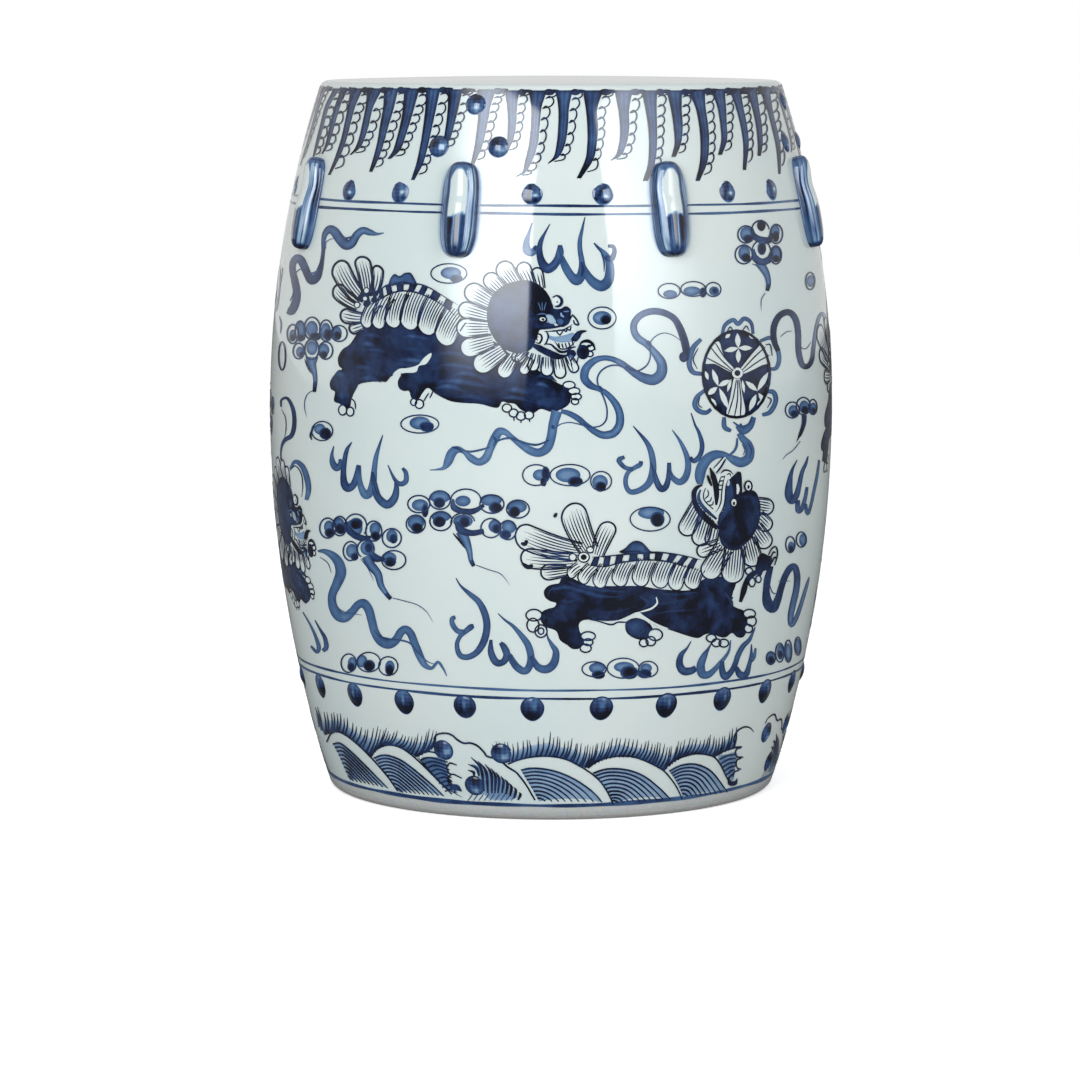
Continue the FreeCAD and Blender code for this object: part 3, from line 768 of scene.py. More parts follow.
def ribbons(fills, lines):
    """Silk ribbons: a broad wash that twists, with a thin second edge beside it."""
    strips = [([(384, 233, 1), (377, 234, 3), (370, 232.4, 6.4), (363, 230.6, 7.4), (357, 235, 8),
                (352, 243, 9), (346, 244.4, 11), (340, 239, 10), (335, 232, 9.4), (330, 229.4, 8.4),
                (325.4, 233.6, 6), (323.6, 241, 4.4), (323.4, 251, 3.8), (322, 262, 4.4), (320, 270, 6.4),
                (317, 277, 8.4), (312, 280, 9.6), (308, 275, 8), (304.6, 267, 8), (301, 260, 8.4),
                (297, 258.6, 8.4), (293.4, 262.6, 7), (292.6, 270, 6.4), (295, 281, 7.4), (297, 293, 7.8),
                (295.6, 303, 8.4), (291.6, 311, 8.4), (287.4, 310.4, 6)],
               [0.5, 0.44, 0.5, 0.62, 0.6, 0.74, 0.86, 0.8, 0.7, 0.86, 0.8, 0.9]),
              ([(318, 551, 2), (325, 551.4, 5), (333, 555.6, 8), (339, 563, 10), (341, 573, 11),
                (337, 584, 9.6), (332.4, 595, 8.4), (333, 606, 9), (338, 615, 10.4), (345, 617.4, 10),
                (352, 612, 8.4), (358, 605, 8), (364, 603.4, 9), (369, 610, 9), (372, 621, 8.6),
                (375, 632, 8.6), (381, 641, 9.4), (389, 644, 9.6), (396, 640, 8.6), (401, 632, 8.4),
                (406, 629.4, 8), (411, 634, 8), (415, 644, 8), (420, 656, 8), (425, 665, 6), (432, 668, 3.4),
                (438, 662, 3), (443, 668, 2.4), (447, 676, 1)], 0.5),
              ([(686, 360, 5), (686.4, 352, 7.4), (684.6, 342, 8), (681, 331, 7.6), (676, 321, 6.8),
                (670, 315.6, 6.6), (661, 312, 6.8), (651, 311.4, 6.8), (641, 315, 6.8), (634.4, 322.6, 7),
                (634, 331, 7), (638, 338, 7.4), (645, 343, 7), (651, 348.6, 6.6), (657, 356, 8.4),
                (661.6, 364, 10), (661, 373.6, 11), (654, 379.6, 11), (645, 378.4, 10), (636, 374, 8),
                (629, 369, 6.8), (621, 363, 6), (612, 359, 5.4), (603, 358, 5.4), (593.6, 361, 7),
                (586, 368.6, 8.4), (584.4, 378, 8.4), (590, 385, 7.4), (598, 388.8, 5), (604.6, 392, 5.4),
                (611.4, 398.4, 6.4), (617, 406.4, 7.4), (620, 416, 8), (619, 426, 8.4), (613, 433.4, 8.4),
                (603, 435, 7.6), (594, 431, 6.6), (586, 425, 5.4), (578, 418.4, 6), (569, 413.4, 5.4),
                (561, 411, 4)],
               [0.99, 0.97, 0.9, 0.68, 0.56, 0.46, 0.4, 0.46, 0.56, 0.5, 0.42, 0.5, 0.6, 0.5, 0.44, 0.4, 0.5,
                0.6, 0.5]),
              ([(557, 411, 11), (553.4, 424, 9.6), (551, 438, 9.4), (547, 448, 9.4), (539, 452.6, 8.6),
                (530, 450.4, 8.4), (520, 444, 6.4), (511, 436.6, 5.4), (505, 432, 6.4), (499, 432, 8.6),
                (494, 440, 9), (490, 449, 8), (486, 458, 8.6), (479, 462, 7.6), (471, 458, 7.4),
                (464, 451.6, 4.6), (457.4, 449.6, 7.4), (452, 453, 9.4), (448, 462, 8.6), (443.6, 468, 4),
                (436, 469.6, 1.6), (430, 470, 1)], 0.46),
              ([(739, 433, 6), (742.6, 438.6, 7), (747.6, 444, 8.4), (750, 451, 8.8), (748, 458.6, 9.6),
                (741, 462.4, 10), (734, 460, 9), (728, 456.4, 6), (722, 454.4, 7), (714, 455, 9.4),
                (706.4, 460, 10.6), (701.4, 468, 11), (699.6, 477, 10), (700, 484, 6)], 0.5),
              ([(778, 351, 5), (774, 341, 6), (773.4, 329, 6.4), (777, 318.6, 6.4), (784, 312.8, 6.4),
                (791, 313.4, 6.4), (796, 321, 6.4), (798, 334, 6.2), (798.4, 351, 6), (801.6, 364, 6),
                (807, 366.4, 5.4), (811.6, 360, 4.6), (813.6, 345, 4), (815.6, 330, 3.6), (819, 317, 3.4),
                (823.4, 314, 3), (826, 329, 2.6), (827.4, 344, 2)],
               [0.97, 0.98, 0.92, 0.95, 0.8, 0.74, 0.8, 0.9, 0.8, 0.5, 0.4, 0.32, 0.3]),
              ([(771, 566, 5), (767.6, 578, 7), (766, 591, 7), (767.6, 603, 10.4), (772.6, 608, 10),
                (777.4, 600, 7.4), (780.6, 589, 6.4), (784.4, 577.6, 6.4), (789.6, 568.4, 6.4),
                (794.4, 567, 6.8), (797, 576, 6.4), (796, 590, 6.4), (792.6, 605, 6.4), (790.4, 617, 6),
                (791.4, 625, 5), (796, 618, 4.4), (800, 607, 4), (804, 594, 3.6), (807, 584, 3),
                (809, 577, 1)],
               [0.9, 0.8, 0.9, 0.8, 0.86, 0.7, 0.66, 0.5, 0.44, 0.5, 0.36, 0.4]),
              ([(738, 425, 7), (743, 431, 7.4), (750, 426, 6.8), (753.6, 417, 5)], 0.55)]
    for points, tone in strips:
        trail(fills, points, tone, min(np.mean(tone) + 0.17, 0.97))
    blob(fills, 683.4, 357, 4.4, 5.2, 0.95, 0.8, layer=6)
    thin = [([(555, 428), (561, 424), (570, 422.4), (580, 424.4), (590, 427), (600, 426), (606, 420),
              (607, 410), (604.6, 400), (601, 392), (598, 385), (597.4, 378), (601, 371), (609, 366),
              (618, 365.4), (627, 369), (637, 371), (646, 366), (650, 358), (650, 349), (650.6, 342),
              (656, 336), (664, 333), (673, 335.4), (681, 341)], 1.7),
            ([(549, 440), (538, 444.6), (527, 443.6), (517, 440), (509, 438), (500, 440), (494, 444)], 2.4),
            ([(490, 447), (480, 450), (470, 451.6), (461, 449.6)], 2.2),
            ([(320, 557), (328, 563), (331.6, 573)], 0.9),
            ([(333, 596), (337, 606), (345, 612), (362, 615)], 1.0),
            ([(373, 629), (380, 636), (390, 639), (400, 640), (410, 643), (418, 652), (427, 661),
              (434, 664)], 1.8),
            ([(326, 249), (326, 243), (330, 239.6), (336, 238)], 1.0),
            ([(341, 238), (348, 238), (354, 236)], 2.0), ([(309, 273), (314, 273), (320, 269)], 2.0),
            ([(295, 274), (299, 270), (304, 268.6)], 1.2), ([(290, 301), (293, 295), (294, 286)], 1.2),
            ([(737, 438), (736.4, 446), (733, 452), (727, 456)], 2.6),
            ([(724, 457), (722, 462), (717, 467), (714, 471)], 2.0),
            ([(742, 444), (744.6, 450), (743, 455)], 1.2), ([(780, 337), (786, 332), (792, 331)], 0.9),
            ([(798, 345), (805, 349), (811, 342)], 0.9), ([(769, 583), (772, 592), (777, 594)], 1.2),
            ([(733, 422), (740, 426.4), (748, 424.4), (752, 417)], 2.2), ([(778, 581), (790, 581)], 0.9)]
    for points, width in thin:
        lines.brush(points, width, 0.68, 5, 0.6, 0.4)
    for points, width in (([(452, 447), (459, 449), (463, 453)], 3),
                          ([(493, 436), (496, 441), (493, 446)], 3), ([(552, 425), (554, 429)], 4),
                          ([(598, 386), (603, 391)], 4), ([(583, 423), (590, 428)], 4),
                          ([(625, 366), (634, 371)], 4), ([(646, 341), (651, 346)], 5),
                          ([(747, 442), (751, 450), (749, 459)], 2)):
        lines.brush(points, width, 0.75, 5, 0.4, 0.4, edge=0.6, columns=5)


def leaf(fills, start, end, half):
    """A slim pointed leaf left bare in the ball's brocade."""
    a = np.array(start, float)
    b = np.array(end, float)
    side = np.array([a[1] - b[1], b[0] - a[0]]) / max(np.hypot(*(b - a)), 1e-6)
    t = np.array([0.0, 0.25, 0.5, 0.75, 1.0])
    up = a + (b - a) * t[:, None] + side * (half * np.sin(t * math.pi))[:, None]
    down = a + (b - a) * t[::-1, None] - side * (half * np.sin(t[::-1] * math.pi))[:, None]
    fills.wash(np.vstack([up, down[1:-1]]), 0.0, 0.0, layer=6, spacing=4.0, sharp=True)


def brocade_ball(fills, lines):
    """The lions' ball of brocade, tied with ribbons."""
    for points, width in (([(722, 334), (725, 325), (733, 320), (738, 324), (744, 318.6), (751, 323),
                            (753, 334)], 4.4),
                          ([(760, 341), (771, 338), (777, 348), (779, 359), (776, 368), (769, 369)], 4.6),
                          ([(764, 392), (773, 392), (775.6, 401), (770, 412), (762, 415)], 5),
                          ([(724, 417), (724.4, 427), (731, 431)], 5),
                          ([(705, 390), (697, 397), (694.6, 405), (699, 411), (706, 412.6), (711, 409)], 5),
                          ([(701, 339), (693, 348), (689, 362), (692.6, 372), (702, 374)], 5.4)):
        fills.brush(points, width, [0.55, 0.5, 0.6], 2, 0.7, 0.7, edge=0.75, columns=5)
    fills.wash(ellipse(736, 374, 33, 43, count=22), 0.98, 0.93, layer=3, depth=4.0, per_span=2)
    fans = [[(704, 363), (707, 352), (713, 344), (719, 342), (722, 352), (728, 362), (736, 370), (734, 373),
             (726, 370), (715, 364)],
            [(739, 370), (747, 358), (756, 349), (763, 342), (768, 350), (770, 362), (762, 365), (752, 370),
             (742, 374)],
            [(734, 377), (739, 377), (742, 395), (745, 411), (741, 417), (731, 418), (726, 414), (730, 398)]]
    for outline in fans:
        bare(fills, outline, 5)
    rays = [[(710, 347), (720, 359), (733, 371)], [(715, 343), (724, 357), (735, 369)],
            [(705, 357), (718, 364), (732, 372)], [(765, 347), (754, 357), (742, 370)],
            [(769, 355), (757, 362), (743, 372)], [(760, 344), (750, 355), (740, 368)],
            [(728, 414), (733, 397), (736, 380)], [(734, 417), (737, 400), (737.4, 380)],
            [(740, 416), (740.6, 399), (738.6, 380)]]
    for points in rays:
        lines.brush(points, 1.3, 0.95, 8, 0.7, 0.7)
    leaves = [((738, 348), (724, 351), 2.6), ((738, 348), (752, 348), 2.6), ((738, 348), (737, 333), 2.8),
              ((738, 349), (738, 363), 2.6), ((718, 386), (712, 369), 2.6), ((718, 386), (730, 380), 2.6),
              ((717, 387), (707, 395), 2.8), ((719, 388), (728, 409), 2.8), ((757, 391), (745, 381), 2.6),
              ((757, 391), (768, 372), 2.8), ((758, 393), (766, 404), 2.4), ((756, 394), (749, 411), 2.8),
              ((754, 339), (748, 334), 1.8), ((725, 338), (730, 334), 1.8), ((705, 371), (708, 380), 1.8),
              ((769, 382), (767, 391), 1.8), ((742, 380), (744, 393), 1.6), ((731, 379), (727, 392), 1.6),
              ((711, 398), (716, 406), 1.8), ((757, 406), (761, 400), 1.6)]
    for start, end, half in leaves:
        leaf(fills, start, end, half)
    blob(fills, 737, 373, 5.4, 5.4, 0.0, 0.0, layer=8)
    ring(lines, 737, 373, 5.2, 5.2, 1.5, 0.95)
    blob(lines, 737, 373, 3, 3, 0.95, 1.0, layer=9)
    ring(lines, 736, 374, 33.4, 43.4, 2.8, 0.98, layer=9)
    for points in ([(727, 331), (730, 327), (733, 331)], [(742, 331), (746, 326), (749, 331)],
                   [(765, 345), (770, 345), (772, 356)], [(767, 397), (771, 400), (767, 408)],
                   [(700, 396), (698, 404), (702, 408)], [(698, 348), (693, 359), (697, 369)]):
        lines.brush(points, 1.4, 0.85, 6, 0.5, 0.5)


def lion_face_upper(fills, lines):
    """The upper lion's muzzle, jaws, beard and feet."""
    fills.wash([(552, 309), (558, 309), (564, 308), (569, 308), (571, 311), (570, 317), (569.6, 322),
                (567, 325), (562, 327), (558, 325), (554, 320), (553, 316), (550, 315)], 0.98, 0.97,
               layer=10)
    fills.wash([(534, 320), (543, 323), (550, 322), (555, 326), (549, 328), (540, 329), (534, 329)], 0.93,
               0.86, layer=10)
    fills.wash([(546, 315), (551, 315), (554, 318), (556, 322), (553, 324), (548, 322)], 0.25, 0.1, layer=11)
    fills.brush([(561, 312.6), (561.6, 315.4), (564, 317)], 2.2, 0.3, 12, 0.4, 0.4)
    fills.brush([(563.4, 311.6), (569, 311.4)], 1.2, 0.45, 12, 0.6, 0.6)
    fills.wash([(557, 320), (561, 319), (564, 322), (561, 325), (558, 323.6)], 0.72, 0.62, layer=12,
               depth=1.0)
    lines.brush([(562, 308.4), (566.6, 307.2), (570.6, 310.2)], 1.8, 1.0, 13)
    blob(fills, 542.6, 319.2, 4.2, 2.8, 0.0, 0.0, layer=12)
    ring(lines, 542.6, 319.2, 3.8, 2.7, 1.7, 0.97, layer=13)
    blob(lines, 543, 319.4, 1.5, 1.3, 0.95, 1.0, layer=13)
    fills.brush([(537, 315), (542, 313.6), (548, 315)], 1.5, 0.55, 12)
    for lean in (-2.6, 0.0, 2.8):
        fills.brush([(542.6 + 0.5 * lean, 311), (542.2 + lean, 306), (542 + 1.5 * lean, 302)], 1.0, 0.5, 12)
    blob(fills, 557, 301, 5.4, 5, 0.0, 0.0, layer=10)
    lines.brush([(552.6, 297.4), (557, 295.8), (561, 298.6), (561.6, 302.6), (559, 306), (555, 306.4)],
                [1.6, 2.0, 3.0, 3.2, 3.0, 2.0], 0.98, 12, 0.8, 0.7)
    blob(lines, 557.2, 302, 0.9, 0.9, 0.9, 0.9, layer=12)
    bare(fills, [(538, 331), (548, 330), (560, 329), (568, 325), (573, 316), (577, 322), (576, 332),
                 (576, 342), (574, 350), (566, 353), (556, 351), (548, 346), (540, 344), (534, 340)], 9)
    lines.brush([(532, 331), (541, 328.6), (552, 327.6), (562, 325.4), (568, 321.4), (571.6, 315.6)],
                [2.0, 2.2, 2.0, 2.0, 2.2, 2.6], 0.97, 12, 0.8, 0.7)
    lines.brush([(544, 331.6), (554, 331), (563, 329.8), (568, 327.4), (572.4, 324.4)], 1.6, 0.95, 12)
    lines.brush([(572, 314.6), (576, 319), (578.6, 324.6), (574.6, 323.8), (573.4, 320)], 1.8, 0.97, 12, 0.9,
                0.8)
    teeth = [(556.4, 331), (558, 333.6), (560, 335.4), (562.2, 332), (563.6, 329.8), (566, 332),
             (567.2, 329.2), (570.2, 330.6), (571, 326.4)]
    for a, b in zip(teeth, teeth[1:]):
        lines.brush([a, b], 1.5, 0.95, 13, 0.9, 0.9)
    fills.wash([(547, 335), (555, 336.6), (565, 335), (573, 332.6), (575, 337), (573, 341), (562, 342.6),
                (554, 341), (549, 339)], 0.34, 0.28, layer=11, depth=1.6)
    fills.wash([(571, 340), (573.6, 335), (577, 331.6), (582, 330), (587, 331), (582, 333.6), (579.6, 338),
                (576, 341.6)], 0.99, 0.97, layer=12, depth=1.2)
    lines.brush([(546, 331), (548.4, 336), (546.6, 342), (544.4, 345)], 1.8, 0.95, 12, 0.8, 0.7)
    lines.brush([(546, 344), (551, 344.6), (555, 348), (560, 351.6), (566, 351.4), (571, 348),
                 (575.6, 346.8)],
                [1.6, 2.2, 2.6, 2.4, 2.2], 0.96, 12, 0.8, 0.7)
    lines.brush([(554.6, 341.4), (557.4, 345), (560, 348.6), (566, 348.8), (572, 345), (575.4, 341)], 1.5,
                0.95, 13)
    for x, y, tall in ((558.4, 343, 4.4), (561.8, 343.6, 4.6), (565.2, 343.2, 4.8), (568.6, 342.2, 4.6),
                       (572, 341, 4.6)):
        lines.brush([(x, y), (x + 1.4, y + tall)], 1.5, 0.93, 12, 0.9, 0.8)
    lines.brush([(529, 343), (539, 348), (549, 353), (559, 356.6), (569, 355)], [5, 6.4, 7, 6.4, 5], 0.95,
                11)
    blob(lines, 571.4, 353.6, 4.6, 4.0, 1.0, 1.0, layer=12)
    blob(fills, 570.6, 356.4, 2.2, 1.6, 0.6, 0.5, layer=13)
    lines.brush([(535.6, 334), (540.4, 334.6), (542, 338.6), (539.4, 343.2), (535.4, 342)], 2.0, 0.97, 12)
    lines.brush([(537.6, 341), (536.4, 337.6), (538.8, 336.8)], 1.5, 0.95, 12)
    for base, tip, half, hatch in (((526, 350), (517, 362), 4.6, 3), ((536, 354), (532, 371), 5.4, 4),
                                   ((547, 357), (547, 376), 6, 5), ((558, 358), (561, 378), 5.6, 4),
                                   ((568, 356), (576, 372), 4.6, 3)):
        petal(lines, fills, base, tip, half, hatch, reach=0.62, layer=9)
    blob(lines, 583, 352, 6.4, 7.4, 0.95, 0.99, layer=8)
    lines.brush([(579, 347), (582, 342), (588, 340.4), (593, 344), (595, 350)], 2.2, 0.97, 10, 0.8, 0.7)
    for cx, cy, rx, ry in ((586, 344.6, 5.4, 2.6), (590, 348, 4.4, 2.8), (590, 354, 3.0, 2.6),
                           (569, 385, 6, 3.6), (574, 391, 5.8, 3.4), (576, 396.6, 5.2, 3.2),
                           (575, 401.4, 3.6, 3), (507, 408, 4.6, 4), (513.6, 413, 4.4, 4),
                           (521, 416, 4.6, 4.2), (529, 415, 4.6, 4), (343, 410, 4, 5),
                           (350.6, 411.6, 3.6, 4.4), (414, 402, 3, 3.4), (419.6, 404, 4.2, 4.4)):
        blob(fills, cx, cy, rx, ry, 0.0, 0.0, layer=7)
        ring(lines, cx, cy, rx, ry, 1.5, 0.93, layer=8)
    for points in ([(351, 398), (355, 402), (356, 409)], [(424, 401), (427, 396), (429, 393)],
                   [(430, 398), (432, 394), (433, 391)], [(514, 417), (514, 421)], [(521, 420), (521, 423)],
                   [(529, 419), (530, 422)], [(580, 352), (577, 362), (578, 370), (573, 372)],
                   [(573, 352), (571, 362), (573, 371)]):
        lines.brush(points, 1.3, 0.93, 8, 0.8, 0.6)
    for cx, cy, r in ((362, 297, 3.4), (367, 304, 3.4), (374.6, 300, 3), (371, 294, 2.4)):
        blob(lines, cx, cy, r, r, 0.95, 1.0, layer=10)
    for cx, cy, r in ((367, 290.6, 2.8), (365.6, 298.6, 2.4), (357.6, 305, 2.8)):
        blob(fills, cx, cy, r, r, 0.0, 0.0, layer=11)
        ring(lines, cx, cy, r, r, 1.1, 0.9, layer=12)


def lower_lion(fills, lines):
    """The lion in the lower row: its head at the right, thrown back towards the ball."""
    body = [(562, 578), (570, 577), (578, 581), (590, 586), (605, 586), (620, 586), (640, 586), (660, 589),
            (690, 590), (702, 580), (712, 577), (722, 577), (735, 582), (738, 590), (733, 598), (731, 604),
            (737, 608), (744, 611), (748, 620), (747, 630), (743, 637), (737, 637), (732, 633), (726, 637),
            (720, 637), (713, 634), (706, 634), (698, 638), (688, 636), (676, 632), (664, 628), (655, 625),
            (648, 620), (643, 615), (637, 612), (628, 616), (618, 620), (606, 621), (594, 620), (584, 620),
            (579, 624), (580, 632), (584, 636), (586, 642), (580, 648), (573, 649), (567, 645), (560, 640),
            (557, 632), (552, 629), (546, 627), (541, 621), (541, 613), (547, 609), (554, 607), (556, 603),
            (550, 601), (545, 597), (544, 591), (548, 586), (554, 584), (559, 583)]
    fills.wash(body, 0.99, 0.965, layer=2, depth=5.0)
    fills.wash([(625, 626), (627, 621), (634, 618), (642, 619), (650, 624), (653, 631), (650, 637),
                (643, 640), (634, 638), (627, 633)], 0.98, 0.86, layer=2, depth=3.0)
    for points, width, ink in (([(552, 590), (566, 587), (582, 591), (600, 596), (618, 597)], 5.5, 0.8),
                               ([(567, 581), (580, 586), (600, 590), (625, 592)], 5, 0.86),
                               ([(548, 596), (550, 590), (557, 587)], 3, 0.8),
                               ([(706, 588), (711, 600), (709, 618)], 9, 0.87),
                               ([(657, 604), (668, 603), (688, 599)], 4.5, 0.88),
                               ([(655, 614), (672, 611), (694, 610)], 3.2, 0.84),
                               ([(662, 594), (680, 594), (698, 592)], 4, 0.84),
                               ([(600, 612), (620, 611), (634, 606)], 4, 0.9),
                               ([(560, 600), (568, 602), (574, 600)], 4, 0.86),
                               ([(724, 592), (730, 600), (733, 606)], 3.4, 0.8),
                               ([(640, 596), (648, 603), (642, 609)], 4, 0.85),
                               ([(640, 624), (644, 630), (640, 634)], 4, 0.8)):
        fills.brush(points, width, ink, 3, 0.3, 0.25, edge=0.965, columns=5)
    for points, width in (([(656, 597), (657, 603), (652, 608), (645, 610.6), (637, 612.6)], 1.8),
                          ([(642, 615), (650, 621), (660, 626), (668, 628.6)], 1.8),
                          ([(585, 620.6), (600, 622), (612, 622), (624, 619), (636, 613)], 1.4),
                          ([(738.6, 581), (736.6, 589), (732.6, 597)], 4.6),
                          ([(734, 600), (738, 604)], 2.6)):
        fills.brush(points, width, 0.0, 5, 0.5, 0.4)
    lines.brush([(584, 618), (600, 621.6), (611, 624.6), (618, 622), (626, 622), (637, 619)], 1.6, 0.95, 7)
    for base, tip, half, hatch, bow in (((580, 552), (516, 532), 12.4, 10, -3.0),
                                        ((573, 560), (521, 557), 9.6, 8, -1.5),
                                        ((567, 570), (541, 573), 7.6, 6, 0.0),
                                        ((589, 550), (571, 504), 13, 9, -2.0),
                                        ((597, 555), (611, 522.6), 8.4, 7, -1.0)):
        petal(lines, fills, base, tip, half, hatch, bow, 0.9, 1.9)
    for points, width in (([(527, 540), (525, 544), (521, 543)], 4),
                          ([(533, 565), (528, 567), (522, 563)], 4.4), ([(554, 517), (557, 513)], 3.4)):
        lines.brush(points, width, 1.0, 8, 0.7, 0.5)
    ruff = [((580, 566), (569, 577), 5), ((593, 566), (581, 583), 6), ((607, 566), (598, 587.6), 7),
            ((627, 562), (618, 586), 8), ((647, 560), (639, 586), 8.4), ((667, 561), (658, 587.6), 8.6),
            ((683, 564), (674, 590), 7.6), ((697, 568), (691, 589), 8)]
    for base, tip, half in ruff:
        petal(lines, fills, base, tip, half, 9, 1.5, 0.86, 1.4, root=1.0)
    checker_ridge(lines, [(592, 557), (606, 556), (622, 554.6), (640, 553), (656, 552), (675, 554),
                          (690, 557), (701, 560)],
                  [(588, 565), (604, 566.6), (620, 562.6), (640, 560), (655, 560), (670, 562), (683, 566),
                   (698, 570)])
    fills.wash([(619, 552), (625, 548), (630, 543), (635, 540.6), (641, 541.6), (646, 546), (650, 550.6),
                (656, 553), (640, 554), (628, 554)], 0.97, 0.7, layer=10, depth=2.2)
    lines.brush([(622, 552), (634, 551), (646, 553)], 1.6, 0.95, 11)
    for cx, cy, rx, ry in ((572.6, 557, 3.6, 3.6), (590, 549.6, 3.4, 3), (583.6, 557, 5.6, 5)):
        blob(fills, cx, cy, rx, ry, 0.0, 0.0, layer=11)
        ring(lines, cx, cy, rx, ry, 1.3, 0.93, layer=12)
    blob(lines, 583.6, 557, 3, 2.8, 1.0, 1.0, layer=13)
    for base, tip, half in (((757, 505), (773, 508), 8.4), ((757, 516), (769.6, 529), 7.6),
                            ((754, 527), (768, 547), 8.6), ((747, 538), (754, 566), 9.4),
                            ((700, 503), (683, 534.6), 8.6), ((707, 515), (697.6, 545), 8.4),
                            ((714, 526), (709.6, 545), 6.2), ((720, 544), (697, 553), 6.4),
                            ((735, 545), (731, 583), 11), ((724, 547), (705.6, 578), 10)):
        petal(lines, fills, base, tip, half, 9, reach=0.9, width=1.7, layer=8, root=0.92)
    fills.wash([(740, 493), (747, 490), (754, 491), (758, 497), (760, 507), (759, 520), (755, 531),
                (748, 541), (738, 548), (729, 549), (722, 545), (719, 537), (718, 528), (717, 520),
                (720, 512), (724, 503), (727, 494), (732, 490)], 0.99, 0.975, layer=11, depth=4.0)
    fills.brush([(720, 538), (726, 546), (736, 548), (747, 541)], 4, 0.84, 12, 0.4, 0.3, edge=0.93,
                columns=5)
    fills.brush([(742, 497), (750, 497), (756, 506), (757, 518)], 6, 0.88, 12, 0.4, 0.3, edge=0.95,
                columns=5)
    bare(fills, [(694, 494), (697, 487), (704, 484), (710, 480), (717, 474), (724, 469.6), (731, 471),
                 (735, 477), (732, 488), (728, 500), (722, 511), (716, 522), (708, 514), (700, 506)], 12)
    fills.wash([(726.4, 483), (730, 478), (736, 473), (740.6, 473), (741, 490), (739, 498), (731, 508),
                (722, 520), (718, 526), (718, 516), (722, 508), (724, 498), (725, 490)], 0.9, 0.78, layer=13,
               depth=2.0)
    fills.brush([(725.8, 479), (723.6, 487), (722.8, 499), (721, 507), (717, 515)], 2.0, 0.0, 14, 0.9, 0.6)
    lines.brush([(727.6, 479), (725.2, 487), (724.4, 499), (722.4, 508), (718, 516)], 1.3, 0.97, 14)
    lines.brush([(724.6, 475), (722.4, 483), (721, 493), (720.4, 501), (718.4, 507), (714.6, 513)], 1.3,
                0.97, 14)
    lines.brush([(720.6, 476), (718.2, 484), (716.8, 492.6)], 1.3, 0.97, 14)
    for a, b in (((720.4, 477), (724.4, 476.4)), ((719.4, 481), (723.4, 480.6)),
                 ((718.4, 485.2), (722.4, 485)), ((717.6, 489.4), (721.6, 489.6))):
        lines.brush([a, b], 1.4, 0.95, 14, 0.9, 0.9)
    lines.brush([(720, 473.4), (724, 470.2), (729, 470.8), (732.8, 474.6)], 1.7, 0.97, 14)
    lines.brush([(726, 474.6), (729, 473.6), (730.6, 477)], 1.3, 0.95, 14)
    blob(fills, 727.4, 482.6, 1.7, 3.2, 0.05, 0.0, layer=14)
    lines.wash([(731, 479), (734, 475), (737.4, 471.4), (740.6, 474), (741.4, 485), (741.4, 494), (738, 498),
                (733, 496), (732.4, 488)], 1.0, 1.0, layer=14)
    fills.brush([(736.6, 484), (737.4, 489), (736.6, 494)], 2.8, 0.0, 16, 0.6, 0.5)
    for cx, cy, rx, ry in ((733.2, 502.4, 3.4, 4.4), (747.6, 486, 3.6, 5)):
        blob(fills, cx, cy, rx, ry, 0.0, 0.0, layer=15)
        ring(lines, cx, cy, rx, ry, 1.7, 0.97, layer=16)
        blob(lines, cx + 0.1, cy + 0.8, 1.2, 1.9, 1.0, 1.0, layer=16)
    lines.brush([(717, 528), (708, 520.6), (698.6, 510.6), (694.4, 502), (693.6, 493), (696.4, 487.6),
                 (702, 484.6)],
                [6, 7, 6, 5, 5, 5, 3.4], 0.98, 14, 0.7, 0.5)
    fills.brush([(716, 519), (708, 512), (700.6, 504), (698, 496.6), (700, 489.4)], 3.4, 0.72, 14, 0.7, 0.5,
                edge=0.9, columns=5)
    fills.brush([(714.6, 513), (708.6, 507), (703.4, 502.6), (701.2, 497), (702.4, 490)], 2.2, 0.0, 15, 0.8,
                0.6)
    for points in ([(712.6, 509), (707, 504), (703.4, 499.4), (703, 493.6), (705, 488)],
                   [(704.4, 498.6), (708, 494.6), (707, 489.6)], [(706, 502), (709.6, 500.6), (711, 497)],
                   [(708.6, 505), (711.6, 504.6), (713, 501)]):
        lines.brush(points, 1.3, 0.95, 15, 0.8, 0.7)
    lines.brush([(709.4, 467.6), (712.6, 476), (715.4, 487), (716, 497), (715.6, 505)], [2, 5.4, 6, 5, 3],
                1.0, 16, 0.7, 0.7)
    lines.brush([(706.8, 475), (709, 481), (711, 486)], 3.0, 0.98, 16, 0.6, 0.5)
    bare(fills, [(713.4, 469), (723, 457.6), (725, 459.6), (716.4, 472)], 12)
    lines.brush([(725, 459), (720.6, 466.6), (715.6, 473)], 2.0, 0.98, 14, 0.8, 0.6)
    lines.brush([(722.6, 457.6), (713.4, 468)], 1.3, 0.9, 14, 0.8, 0.6)
    lines.wash([(755, 571), (756, 563), (758, 556), (762, 553), (767, 555), (771, 557), (772, 562),
                (770, 566), (768, 570), (763, 571), (760, 576)], 1.0, 0.98, layer=10)
    for points in ([(768, 555), (771, 549), (775, 546.6), (777, 551), (776.4, 558), (774, 565)],
                   [(770.4, 557), (773, 552), (775, 553)], [(772, 562), (774, 557), (776, 558.6)]):
        lines.brush(points, 1.6, 0.97, 10, 0.8, 0.7)
    lines.brush([(758, 571), (751, 575), (746, 582), (743, 592), (740, 602)], [6, 6, 5, 6, 5], 0.97, 8, 0.7,
                0.6)
